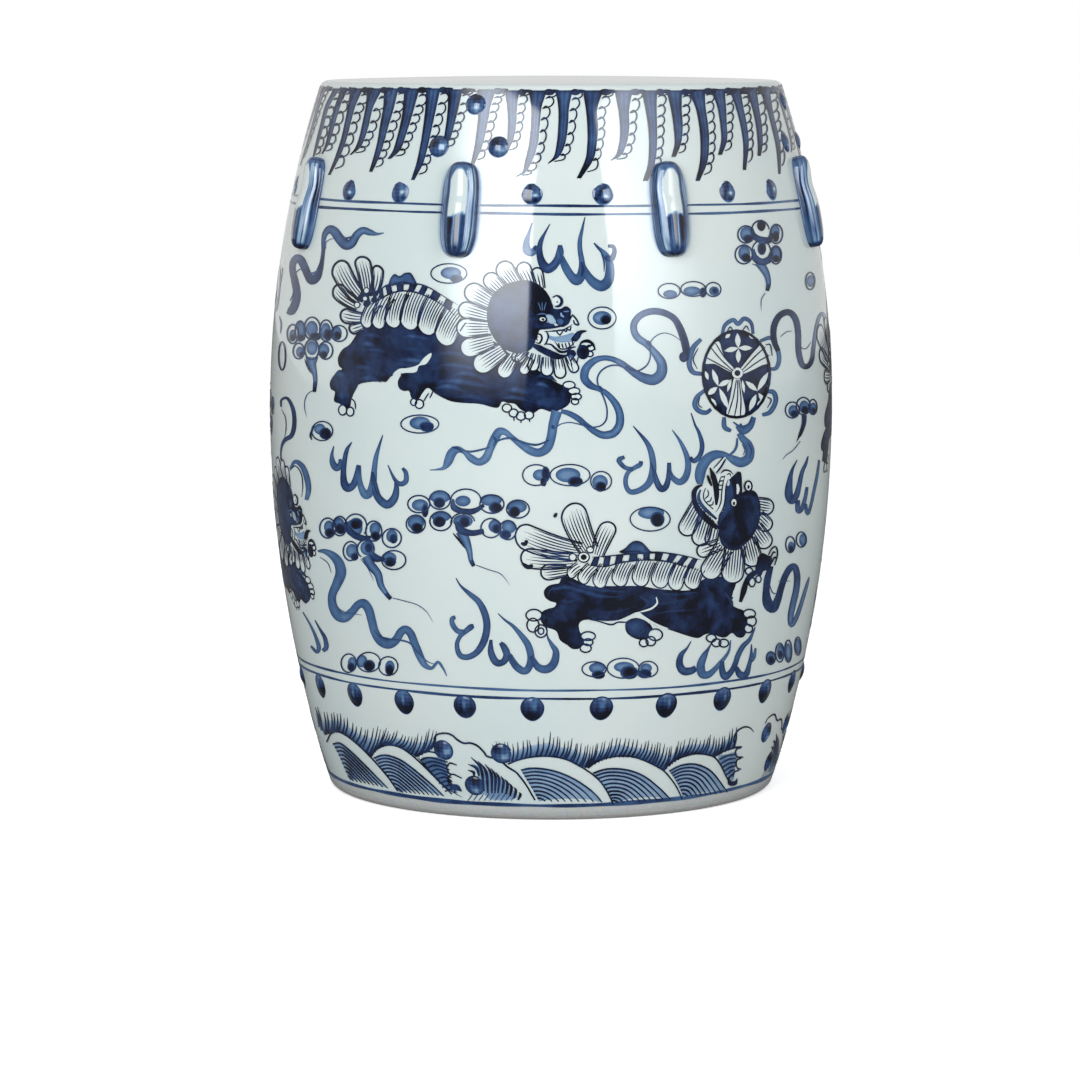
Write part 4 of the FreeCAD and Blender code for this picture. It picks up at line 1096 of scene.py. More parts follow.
    for cx, cy, rx, ry in ((751.6, 582, 2.6, 4), (758, 579, 2.2, 3), (748.6, 571, 3, 3),
                           (749, 613.6, 5, 3.8), (751, 621, 4, 4.4), (748, 628.4, 3.4, 3.6),
                           (711, 638, 4, 3.4), (716, 642.6, 3.8, 3.4), (723.4, 643, 4, 3.4),
                           (534, 615, 6.6, 5), (533, 625, 5, 6), (541, 631, 5, 5.4), (541, 631, 2.4, 2.8),
                           (588, 636, 6, 3.8), (588, 642, 4, 3), (585.6, 648, 4.6, 3.6), (655, 634.6, 6, 5),
                           (650.6, 641, 4, 4), (643.6, 642.6, 3.6, 3.4)):
        blob(fills, cx, cy, 1.2 * rx, 1.15 * ry, 0.1, 0.0, layer=7)
        ring(lines, cx, cy, 1.2 * rx, 1.15 * ry, 1.6, 0.95, layer=8)
    fills.brush([(540, 614), (544, 620)], 7, 0.9, 6)


def left_edge(fills, lines):
    """What shows at the left limb: a ribbon, a blue curl and a small cloud by the next lion."""
    trail(fills, [(281.4, 407, 1.6), (281.6, 400, 2.4), (287.6, 398.4, 3), (293, 408.6, 4),
                  (294.6, 422, 4.4), (292, 435, 4.6), (285, 440, 4), (281.6, 448, 2), (281.6, 460, 1.4),
                  (288, 469, 1)], 0.78, 0.9)
    lines.brush([(281.6, 409), (285.8, 418), (286.2, 430), (284.6, 438)], 0.9, 0.8, 5)
    trail(fills, [(290, 469, 2), (295.6, 461.6, 4), (303, 467, 5.4), (307.6, 480, 6), (308.6, 491, 5.4),
                  (306.6, 500, 4)], 0.5, 0.7)
    lines.brush([(290, 471), (295.6, 465.8), (301.6, 474), (303, 486), (302, 497)], 1.2, 0.85, 5)
    ring(lines, 282.4, 356, 3.4, 14, 1.6, 0.85, layer=5)
    lines.brush([(279.6, 316), (281.4, 324), (280.6, 334)], 1.4, 0.8, 5)


SPIKES = [([(333, 92, 5), (326, 106, 3.6), (321, 125, 3), (316, 145, 2.4), (313, 158, 1)], 8),
          ([(341, 92, 6), (336, 106, 4.4), (330.6, 126, 4), (326.6, 143, 3), (322, 154, 1)], 7),
          ([(351, 92, 11), (349, 106, 6.6), (346, 121, 5.4), (342, 139, 4.8), (336, 157, 4),
            (328.6, 175, 2)], 8),
          ([(368, 92, 13), (366.4, 108, 6.6), (363, 125, 6), (360, 138, 5), (356, 148, 4), (350.4, 155, 1)],
           7),
          ([(385, 92, 13), (384, 108, 10), (381, 125, 8), (378, 143, 6), (374, 158, 5), (369.6, 172, 3)], 9),
          ([(405, 92, 14), (404, 108, 10.4), (401.6, 122, 8.6), (398, 137, 7.4), (394, 150, 6.4),
            (388, 159, 3)], 8),
          ([(427, 92, 13), (426, 110, 10), (423.6, 130, 8), (420.6, 148, 7), (417, 164, 6), (411.6, 180, 3)],
           9),
          ([(449, 93, 13), (448.6, 108, 10), (447, 124, 7.6), (444.6, 138, 6), (441.6, 150, 2.6)], 7),
          ([(478, 93, 17), (479.6, 106, 11), (478, 126, 9), (475, 147, 7), (471, 165, 3)], 9),
          ([(506, 94, 13), (508, 108, 9), (508.6, 124, 7.6), (507.6, 140, 5.6), (504, 154, 2)], 7),
          ([(530, 94, 16), (532, 108, 9.4), (531.6, 126, 8), (529.6, 145, 8), (526, 160, 6.6), (523, 172, 3),
            (516, 176.6, 1)], 9),
          ([(557, 94, 15), (559, 108, 10), (559, 125, 9), (557.6, 142, 8), (554.6, 156, 5), (548, 163.6, 1)],
           7),
          ([(584, 94, 18), (586.6, 110, 10.4), (588, 127, 10), (588, 144, 8.6), (585.6, 160, 7.6),
            (577, 178.4, 4)], 8),
          ([(616, 94, 16), (619, 110, 10), (620.6, 126, 8.6), (620, 142, 7), (616.4, 155, 5),
            (610.6, 160.6, 1)], 7),
          ([(643, 94, 14), (646.6, 112, 10), (649, 130, 8), (649.6, 150, 7), (648, 166, 6), (643, 181, 5)],
           9),
          ([(668, 94, 14), (671.6, 110, 10), (674, 126, 8.6), (675, 143, 6), (671.6, 157, 4)], 7),
          ([(690, 93, 15), (696, 108, 9.6), (699.6, 126, 8.6), (701, 145, 8), (700, 163, 7),
            (695.6, 181, 4)], 9),
          ([(713, 92.6, 12), (718, 108, 8), (720.6, 124, 6), (721.6, 140, 5.4), (718, 155, 4)], 7),
          ([(731, 92, 10), (736.4, 108, 7), (741, 126, 6), (743.6, 145, 5), (743, 170, 3)], 9),
          ([(747, 91, 10), (752.6, 108, 6.4), (756.4, 126, 5.4), (758, 143, 4.6), (757.6, 156, 3)], 7),
          ([(761, 91, 9), (767.6, 110, 5), (772.6, 129, 4.4), (776.6, 148, 4), (778.6, 174, 2)], 8)]


def spike(fills, lines, points, loops):
    """A hanging spike: a streaked wash, a dark left side and a chain of loops on its right."""
    first = (points[0][0] + 0.8, min(points[0][1] - 3.6, 91.2), points[0][2] + 1.5)
    path = smooth([first] + list(points), False, 6)
    left = path[:, :2]
    right = left + np.stack([path[:, 2], np.zeros(len(path))], -1)
    share = np.linspace(0.0, 1.0, 7)
    grid = left[:, None, :] * (1.0 - share)[None, :, None] + right[:, None, :] * share[None, :, None]
    azimuth, height = lay(grid.reshape(-1, 2))
    down = np.linspace(0.0, 1.0, len(path))
    ends = np.maximum(np.clip(1.0 - down / 0.16, 0.0, 1.0), np.clip((down - 0.74) / 0.2, 0.0, 1.0))
    across = np.array([0.97, 0.86, 0.68, 0.80, 0.66, 0.82, 0.96])
    ink = across[None, :] + (0.99 - across)[None, :] * ends[:, None]
    shape = (len(path), 7)
    fills.band(azimuth.reshape(shape), height.reshape(shape), ink, 3)
    lines.brush(left, 1.5, 0.97, 6, 0.9, 0.5, per_span=1)
    blob(fills, right[2][0] + 1.6, right[2][1] + 1.0, 0.34 * points[0][2], 3.2, 0.96, 0.9, layer=4,
         depth=1.2)
    loops += 1
    reach = np.interp(np.linspace(0.0, 0.93, loops + 1), down, np.arange(len(path)))
    squeeze = 0.45 + 0.55 * min(1.0, points[0][2] / 13.0)
    for n, (a, b) in enumerate(zip(reach[:-1], reach[1:])):
        p = np.array([np.interp(a, np.arange(len(path)), right[:, k]) for k in (0, 1)])
        q = np.array([np.interp(b, np.arange(len(path)), right[:, k]) for k in (0, 1)])
        fall = n / loops
        wide = (8.6 - 5.0 * fall) * squeeze
        off = (1.8 - 1.7 * fall) * squeeze
        tall = q[1] - p[1]
        curl = [p + (off - 0.4, 0.16 * tall), p + (off + 0.42 * wide, -0.08 * tall),
                p + (off + 0.90 * wide, 0.14 * tall), p + (off + 0.98 * wide, 0.52 * tall),
                p + (off + 0.66 * wide + 0.2 * (q[0] - p[0]), 0.90 * tall),
                q + (off * 0.8 + 0.10 * wide, 0.12 * tall)]
        lines.brush(curl, 1.5, 0.92, 7, 0.8, 0.7, per_span=3)


def comb(fills, lines, knots, count):
    """Spray over the waves: leaning strokes with a wash at their roots."""
    knots = np.array(knots, float)
    t = np.linspace(0.0, 1.0, len(knots))

    def at(u):
        return np.array([np.interp(u, t, knots[:, k]) for k in range(4)])

    along = np.linspace(0.0, 1.0, 6 * len(knots))
    base = np.array([at(u) for u in along])
    tall = base[:, 2:] - base[:, :2]
    share = np.array([0.0, 0.3, 0.62])
    grid = base[:, None, :2] + tall[:, None, :] * share[None, :, None]
    azimuth, height = lay(grid.reshape(-1, 2))
    ink = np.repeat(np.array([0.66, 0.42, 0.12])[None, :], len(along), 0)
    shape = (len(along), 3)
    fills.band(azimuth.reshape(shape), height.reshape(shape), ink, 2)
    for n in range(count):
        u = (n + 0.5 + random.uniform(-0.18, 0.18)) / count
        x, y, tx, ty = at(u)
        tx += random.uniform(-1.0, 1.0)
        ty += random.uniform(-3.0, 2.0)
        sag = (0.5 * (x + tx) + 1.3, 0.5 * (y + ty) + 1.0)
        lines.brush([(x, y), sag, (tx, ty)], [2.4, 1.6, 0.9], 0.9, 6, 1.0, 0.35, per_span=3)


def fan(fills, lines, outer, inner, left, count, width=1.7, start=0.7, end=0.7):
    """A wave: a bare band along its crest over a fan of lines parallel to it.

    width, start and end are those of the line under the band.
    """
    wash = 0.24
    lines.brush(outer, 1.7, 0.95, 7, 0.9, 0.8)
    top = smooth(inner, False, 5)
    side = smooth(left, False, 5)
    t = np.linspace(0.0, 1.0, len(top))
    s = np.linspace(0.0, 1.0, len(side))
    edge = np.vstack([top, side[::-1]])
    fills.wash(edge, wash + 0.1, wash, layer=2, depth=2.0, spacing=3.0, sharp=True)
    tip = top[-1]
    foot = side[-1]
    for n in range(count):
        u = n / count
        begin = np.array([np.interp(u, s, side[:, k]) for k in (0, 1)])
        stop = tip + (foot - tip) * u ** 0.92
        line = []
        for k in np.linspace(0.0, 1.0, 6):
            crest = np.array([np.interp(k, t, top[:, c]) for c in (0, 1)])
            swell = (crest - (top[0] + (tip - top[0]) * k)) * (1.0 - u) ** 1.15
            line.append(begin + (stop - begin) * k + swell)
        lines.brush(line, [1.9, 1.9, 1.5], 0.92, 6, 0.9, 0.7, per_span=3)
    lines.brush(inner, width, 0.92, 6, start, end)


def rock_and_wave(fills, lines):
    """The rock behind a group of beads, the spray and the first wave to its right."""
    lines.brush([(434, 739), (437, 734.6), (445, 733), (452, 735), (458, 740), (464, 743), (471, 743),
                 (478, 746), (484, 752), (487, 756), (494, 758), (501, 761), (508, 767), (516, 772),
                 (522, 779), (527, 786), (531, 793), (535, 800)], 2.0, 0.95, 7, 0.8, 0.8)
    tips = [(471, 757, 484, 791), (478, 761, 488, 793), (485, 764, 492, 793), (491, 768, 495, 793),
            (496, 772, 498, 793), (501, 776, 502, 793), (505, 779, 506, 794), (509, 783, 510, 796),
            (514, 787, 514, 798), (519, 792, 518, 800), (468, 764, 479, 776), (468, 770, 474, 776)]
    for tx, ty, bx, by in tips:
        lines.brush([(tx, ty), (tx + 0.62 * (bx - tx) + 2, ty + 0.34 * (by - ty)), (bx, by)],
                    [1.2, 3.0, 2.4], 0.92, 6, 0.5, 0.7)
    fills.wash([(472, 764), (482, 768), (494, 773), (506, 783), (518, 796), (508, 800), (490, 799),
                (482, 790), (478, 775)], 0.2, 0.38, layer=2, depth=3.0)
    for n in range(9):
        x = 468 + 5.4 * n
        lines.brush([(x, 800.5), (x + 3.4, 796), (x + 5, 793)], 1.1, 0.7, 5, 0.8, 0.5)
    comb(fills, lines, [(494, 758, 491, 744), (505, 763, 502, 743), (514, 761, 516, 744),
                        (530, 757, 530, 738), (545, 756, 551, 734), (557, 757, 561, 740),
                        (567, 760, 573, 741), (577, 765, 583, 744), (586, 768, 592, 746)], 25)
    fan(fills, lines, [(508, 764), (518, 760), (531, 757), (545, 756), (557, 757), (568, 760), (578, 765),
                       (588, 771), (597, 778), (603, 785), (609, 795), (613, 804)],
        [(521, 770), (529, 768), (541, 768.6), (553, 770.6), (565, 774.6), (577, 780.6), (588, 788),
         (596, 795), (602, 802)],
        [(521, 770), (525, 777), (530, 785), (535, 794), (539, 801)], 9)


def waves_right(fills, lines):
    """The second and third wave and the small curling wave beside the next rock."""
    comb(fills, lines, [(586, 768, 592, 746), (592, 765, 600, 744), (602, 760, 610, 740),
                        (614, 757, 622, 736), (627, 757, 634, 740), (638, 758, 645, 742),
                        (648, 762, 655, 743), (656, 766, 663, 744), (664, 770, 671, 748),
                        (672, 763, 679, 743), (682, 757, 690, 737), (694, 754, 701, 738),
                        (705, 754, 711, 736), (714, 757, 718, 740), (722, 753, 727, 732),
                        (735, 747, 738, 726)], 43)
    fan(fills, lines, [(588, 768), (596, 762), (606, 758), (617, 756), (628, 756), (638, 758), (648, 762),
                       (656, 766), (664, 771), (671, 779), (677, 788), (682, 799)],
        [(593, 773), (601, 770), (612, 768.4), (625, 769.4), (636, 772.4), (646, 777.4), (655, 784.4),
         (663, 791.4), (670, 799)],
        [(593, 773), (599, 780), (605, 789), (610, 797), (613, 803)], 10)
    fan(fills, lines, [(664, 770), (669, 764), (677, 759), (686, 755.6), (696, 753.6), (706, 754.4),
                       (714, 757), (720, 764), (724, 772), (728, 780), (731, 784)],
        [(669, 771), (677, 766.6), (687, 764), (697, 764.4), (707, 768.4), (714, 774.4), (720, 782),
         (727, 792)],
        [(669, 771), (674, 778), (679, 787), (683, 797)], 9)
    lines.brush([(716, 756), (723, 751.6), (730, 749), (737, 747.6)], 1.4, 0.92, 7)
    for k in range(6):
        drop = 3.8 * k
        lines.brush([(719 + 1.7 * k, 759.6 + drop), (727 + 1.0 * k, 755.6 + drop),
                     (736 - 0.3 * k, 754.4 + drop)], 1.8, 0.9, 6, 0.8, 0.6)
    fills.wash([(718, 758), (727, 754), (737, 753), (735, 768), (733, 780), (728, 777)], 0.3, 0.42, layer=2,
               depth=2.0)
    lines.brush([(728, 777), (730, 783), (735, 782.6), (737, 778)], [2, 5, 4.4, 2], 0.95, 7)
    lines.brush([(735, 746.6), (733.6, 739), (737, 731), (743.6, 727), (749.6, 727.6), (753.6, 732)], 1.7,
                0.93, 7)
    for points in ([(735, 747), (742, 746.6)], [(741, 747.6), (736.4, 749), (735, 754), (738, 757)],
                   [(736, 757), (743, 757)], [(741, 758), (736.6, 760), (736, 766), (739, 769)],
                   [(737, 768.4), (741, 769)], [(739, 770), (734, 772), (733, 777)]):
        lines.brush(points, 1.5, 0.92, 7, 0.9, 0.7)


def waves_left(fills, lines):
    """The three waves to the left of the front rock."""
    comb(fills, lines, [(318, 724, 314, 706), (325, 735, 322, 711), (332, 733, 333, 712),
                        (338, 731, 340, 714), (346, 735, 348, 720), (354, 741, 359, 727),
                        (362, 748, 368, 729), (370, 757, 379, 727), (376, 750, 386, 730),
                        (383, 746, 392, 733), (392, 745, 400, 733), (402, 748, 409, 736),
                        (410, 753, 417, 735), (417, 757, 426, 733), (425, 753, 434, 730),
                        (433, 748, 438, 733)], 36)
    fan(fills, lines, [(327, 742), (331, 734), (338, 731.6), (346, 735), (354, 741), (362, 748), (371, 757),
                       (380, 767), (389, 778), (398, 791)],
        [(333, 744), (339, 742.6), (347, 748), (357, 757), (367, 767), (377, 777), (388, 788)],
        [(333, 744), (339, 755), (344, 767), (350, 780)], 9, 1.6, 0.35, 0.25)
    fan(fills, lines, [(371, 757), (376, 750), (383, 746), (392, 745), (402, 748), (412, 755), (422, 764),
                       (432, 774), (442, 784), (452, 794)],
        [(374, 758), (381, 755), (391, 756), (402, 760.6), (413, 768.6), (425, 778.6), (436, 788),
         (444, 796)],
        [(374, 758), (381, 767), (389, 778), (399, 792)], 10, 1.7, 0.35, 0.25)
    lines.brush([(415, 757), (420, 753), (427, 751.4), (435, 752.6), (441, 757)], 1.6, 0.93, 7)
    lines.brush([(417, 756), (425, 765), (433, 774), (441, 782.6), (450, 790), (462, 797)], 1.6, 0.93, 7)
    for k in range(9):
        x = 421 + 3.0 * k
        y = 760 + 3.9 * k
        lines.brush([(x, y), (x + 9, y - 2.6), (448 + 0.9 * k, y + 2.0)], 1.8, 0.92, 6, 0.9, 0.7)
    fills.wash([(421, 759), (432, 757), (444, 759), (448, 770), (450, 784), (458, 793), (446, 788),
                (433, 775)], 0.4, 0.55, layer=2, depth=2.0)
    for points in ([(457, 765), (450, 763), (447, 768), (450, 774)],
                   [(462, 778), (452, 774), (448, 780), (451, 786)]):
        lines.brush(points, 1.6, 0.95, 7, 0.7, 0.8)
    lines.brush([(450, 787), (456, 787), (462, 791)], [5, 6, 4], 0.85, 6)


def put(tree, kind, inputs, **settings):
    """A new node: settings first, then inputs, each a value or a socket to link from."""
    node = tree.nodes.new(kind)
    for name, value in settings.items():
        setattr(node, name, value)
    for name, value in inputs.items():
        if isinstance(value, bpy.types.NodeSocket):
            tree.links.new(value, node.inputs[name])
        else:
            node.inputs[name].default_value = value
    return node


def calculate(tree, operation, *values):
    return put(tree, "ShaderNodeMath", dict(enumerate(values)), operation=operation).outputs[0]


def map_range(tree, value, low, high, start, end, kind="LINEAR"):
    """Takes a value from between low and high to between start and end."""
    inputs = {"Value": value, "From Min": low, "From Max": high, "To Min": start, "To Max": end}
    return put(tree, "ShaderNodeMapRange", inputs, interpolation_type=kind).outputs["Result"]


def noise(tree, where, scale, detail, output="Fac"):
    inputs = {"Vector": where, "Scale": scale, "Detail": detail}
    return put(tree, "ShaderNodeTexNoise", inputs).outputs[output]


def colour_ramp(tree, factor, stops):
    """Colour from a factor, through stops of (place, colour)."""
    ramp = put(tree, "ShaderNodeValToRGB", {"Fac": factor})
    elements = ramp.color_ramp.elements
    for element, (place, colour) in zip(elements, (stops[0], stops[-1])):
        element.position = place
        element.color = colour + (1.0,)
    for place, colour in stops[1:-1]:
        element = elements.new(place)
        element.color = colour + (1.0,)
    return ramp.outputs["Color"]


def mix(tree, factor, a, b, **settings):
    return put(tree, "ShaderNodeMix", {"Factor": factor, "A": a, "B": b}, **settings).outputs["Result"]


def new_material(name):
    """A material with its node tree, its shader and the socket of each point's place."""
    material = bpy.data.materials.new(name)
    material.use_nodes = True
    tree = material.node_tree
    where = put(tree, "ShaderNodeTexCoord", {}).outputs["Object"]
    return material, tree, tree.nodes["Principled BSDF"], where


def body_colour(tree, where):
    """White glaze with a faint green-blue cast that pools and thins, and a few kiln specks."""
    cast = colour_ramp(tree, noise(tree, where, 9.0, 3.0), [(0.35, GLAZE_COOL), (0.65, GLAZE_WARM)])
    specks = put(tree, "ShaderNodeTexVoronoi", {"Vector": where, "Scale": 55.0})
    spread = put(tree, "ShaderNodeSeparateColor", {"Color": specks.outputs["Color"]})
    chosen = calculate(tree, "GREATER_THAN", spread.outputs["Red"], 0.965)
    near = map_range(tree, specks.outputs["Distance"], 0.015, 0.045, 0.55, 0.0)
    here = calculate(tree, "MULTIPLY", chosen, near)
    return mix(tree, here, cast, SPECK, data_type="RGBA")


def thrown_surface(tree, shader, where):
    """The slight waves of a thrown and trimmed wall, seen only in the reflections."""
    inputs = {"Strength": 0.10, "Distance": 0.004, "Height": noise(tree, where, 16.0, 2.0)}
    bump = put(tree, "ShaderNodeBump", inputs)
    tree.links.new(bump.outputs["Normal"], shader.inputs["Normal"])


def painted(name):
    """Cobalt under the glaze: each point's ink, made uneven as a brush leaves it, tints the body."""
    material, tree, shader, where = new_material(name)
    ink = put(tree, "ShaderNodeAttribute", {}, attribute_name="ink").outputs["Fac"]
    fine = calculate(tree, "MULTIPLY_ADD", noise(tree, where, 240.0, 5.0), 0.24, -0.40)
    swing = calculate(tree, "MULTIPLY_ADD", noise(tree, where, 82.0, 2.0), 0.54, fine)
    total = calculate(tree, "ADD", ink, calculate(tree, "MULTIPLY", swing, ink))
    cobalt_tint = colour_ramp(tree, total, COBALT_TONES)
    tinted = mix(tree, 1.0, body_colour(tree, where), cobalt_tint, data_type="RGBA", blend_type="MULTIPLY")
    tree.links.new(tinted, shader.inputs["Base Color"])
    thrown_surface(tree, shader, where)
    shader.inputs["Roughness"].default_value = GLOSS
    shader.inputs["IOR"].default_value = GLASS_IOR
    return material


def glazed(name):
    """Clear glaze over the white body."""
    material, tree, shader, where = new_material(name)
    tree.links.new(body_colour(tree, where), shader.inputs["Base Color"])
    thrown_surface(tree, shader, where)
    shader.inputs["Roughness"].default_value = GLOSS
    shader.inputs["IOR"].default_value = GLASS_IOR
    return material


def clay_foot_with_painted_shade(name):
    """Glaze that ends in a ragged edge above a bare clay foot, whose dark grey, darkest near the floor, is
    painted shade.
    """
    material, tree, shader, where = new_material(name)
    height = put(tree, "ShaderNodeSeparateXYZ", {"Vector": where}).outputs["Z"]
    ragged = calculate(tree, "MULTIPLY_ADD", noise(tree, where, 30.0, 4.0), -0.0024, height)
    # painted shade: the foot's grey is darkest near the floor and lighter higher up
    bands = colour_ramp(tree, map_range(tree, ragged, 0.0, 0.006, 0.0, 1.0), CLAY_AND_SHADE_TONES)
    grain = noise(tree, where, 420.0, 6.0, "Color")
    mottled = mix(tree, 0.35, bands, grain, data_type="RGBA", blend_type="SOFT_LIGHT")
    tree.links.new(mottled, shader.inputs["Base Color"])
    dry = map_range(tree, ragged, 0.0010, 0.0034, 0.78, 0.2)
    tree.links.new(dry, shader.inputs["Roughness"])
    return material


def grid_faces(rows, columns, start=0):
    """Faces of a grid of points, row after row."""
    faces = []
    for r in range(rows - 1):
        for c in range(columns - 1):
            i = start + r * columns + c
            faces.append((i, i + 1, i + columns + 1, i + columns))
    return faces


def lathe(name, strips, node, material):
    """A turned piece from outline strips of (radius, height), each smooth in itself."""
    turn = np.linspace(0.0, 2.0 * math.pi, LATHE_STEPS + 1)
    points = []
    normals = []
    faces = []
    spots = []
    start = 0
    run = 0.0
    for strip in strips:
        p = np.array(strip, float)
        tangent = np.gradient(p, axis=0)
        tangent /= np.linalg.norm(tangent, axis=1)[:, None] + 1e-12
        step = np.hypot(*np.diff(p, axis=0).T)
        along = run + np.concatenate([[0.0], np.cumsum(step)])
        run = along[-1] + 0.002
        for (radius, height), (tr, tz), v in zip(p, tangent, along):
            level = np.full(len(turn), height)
            points.append(np.stack([radius * np.sin(turn), -radius * np.cos(turn), level], -1))
            fall = np.full(len(turn), -tr)
            normals.append(np.stack([tz * np.sin(turn), -tz * np.cos(turn), fall], -1))
            spots.append(np.stack([turn, np.full(len(turn), v)], -1))
        faces += grid_faces(len(p), len(turn), start)
        start += len(p) * len(turn)
    normals = np.concatenate(normals)
    piece = make_piece(name, np.concatenate(points), faces, normals, np.concatenate(spots), material)
    piece.data.normals_split_custom_set_from_vertices(normals.tolist())
    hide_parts(node)
    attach(piece, "root")
    return piece


def side_strip(low, high, count, inset=0.0):
    heights = np.linspace(low, high, count)
    radius = side_radius(heights)
    return np.stack([radius - inset * np.cos(side_lean(heights)), heights], -1)


def bend(a, corner, b, count=9):
    """A rounded edge from a to b, drawn to the corner."""
    t = np.linspace(0.0, 1.0, count)[:, None]
    a, corner, b = (np.array(p, float) for p in (a, corner, b))
    return (1.0 - t) ** 2 * a + 2.0 * t * (1.0 - t) * corner + t ** 2 * b


def barrel_pieces(glaze, clay):
    """Both thrown sections, the crowned seat and the foot ring."""
    for name, low, high, count in (("lower_wall", FOOT_BAND, BELLY_HEIGHT, 90),
                                   ("upper_wall", BELLY_HEIGHT, JOINT_TOP, 76)):
        outer = side_strip(low, high, count)
        inner = side_strip(high, low, 30, WALL)
        strips = [outer, [outer[-1], inner[0]], inner, [inner[-1], outer[0]]]
        lathe("thrown_" + name, strips, name, glaze)
    crown_curve = arc_radius(RIM_RADIUS, CROWN - SEAT_EDGE)
    top = np.linspace(RIM_RADIUS - RIM_ROUND, AXIS_GAP, 30)
    crown = np.stack([top, CROWN - crown_curve + np.sqrt(crown_curve ** 2 - top ** 2)], -1)
    side = side_strip(JOINT_TOP, SEAT_EDGE - 0.0033, 8)
    edge = bend(side[-1], (RIM_RADIUS - 0.0001, SEAT_EDGE - 0.0001), crown[0])
    under = [(AXIS_GAP, JOINT_TOP), (0.07, JOINT_TOP), (0.137, JOINT_TOP), tuple(side[0])]
    strips = [np.vstack([side[:-1], edge[:-1], crown]), under]
    lathe("crowned_seat", strips, "seat_slab", glaze)
    flat = FOOT_RADIUS - FOOT_ROUND
    floor_edge = bend((flat, 0.0), (FOOT_RADIUS, 0.0), (float(side_radius(FOOT_ROUND)), FOOT_ROUND))
    rise = side_strip(FOOT_ROUND, FOOT_BAND, 4)
    ground = [(VENT_RADIUS, 0.0), (0.09, 0.0)]
    strips = [np.vstack([ground, floor_edge, rise[1:]]), [tuple(rise[-1]), (VENT_RADIUS, FOOT_BAND)],
              [(VENT_RADIUS, FOOT_BAND), (VENT_RADIUS, 0.0)]]
    lathe("foot_ring", strips, "base_slab", clay)


def relief(name, grid, node_names, material):
    """Luted pieces in one mesh, each a grid of points with its outward side and its ink."""
    points = np.concatenate([np.reshape(g["points"], (-1, 3)) for g in grid])
    outward = np.concatenate([np.reshape(g["out"], (-1, 3)) for g in grid])
    ink = np.concatenate([np.ravel(g["ink"]) for g in grid])
    spots = []
    faces = []
    start = 0
    wide = int(math.ceil(math.sqrt(len(grid))))
    for n, g in enumerate(grid):
        rows, columns = np.shape(g["ink"])
        u, v = np.meshgrid(np.linspace(0.06, 0.94, columns), np.linspace(0.06, 0.94, rows))
        if "swing" not in g:
            reach = np.linspace(0.0, 0.45, rows)[:, None]
            turn = np.linspace(0.0, 2.0 * math.pi, columns)[None, :]
            u = 0.5 + reach * np.cos(turn)
            v = 0.5 + reach * np.sin(turn)
        spots.append(np.stack([(np.ravel(u) + n % wide) / wide, (np.ravel(v) + n // wide) / wide], -1))
        faces += grid_faces(rows, columns, start)
        start += rows * columns
    piece = make_piece(name, points, faces, outward, np.concatenate(spots), material, ink)
    if "swing" in grid[0]:
        swing = np.concatenate([np.reshape(g["swing"], (-1, 3)) for g in grid])
        rounder = np.array([v.normal for v in piece.data.vertices]) + swing
        rounder /= np.linalg.norm(rounder, axis=1)[:, None]
        piece.data.normals_split_custom_set_from_vertices(rounder.tolist())
    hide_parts(*node_names)
    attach(piece, "root")
    return piece


def hump(x, centre, width):
    """A smooth rise to 1 at the centre."""
    return np.exp(-((x - centre) / width) ** 2)


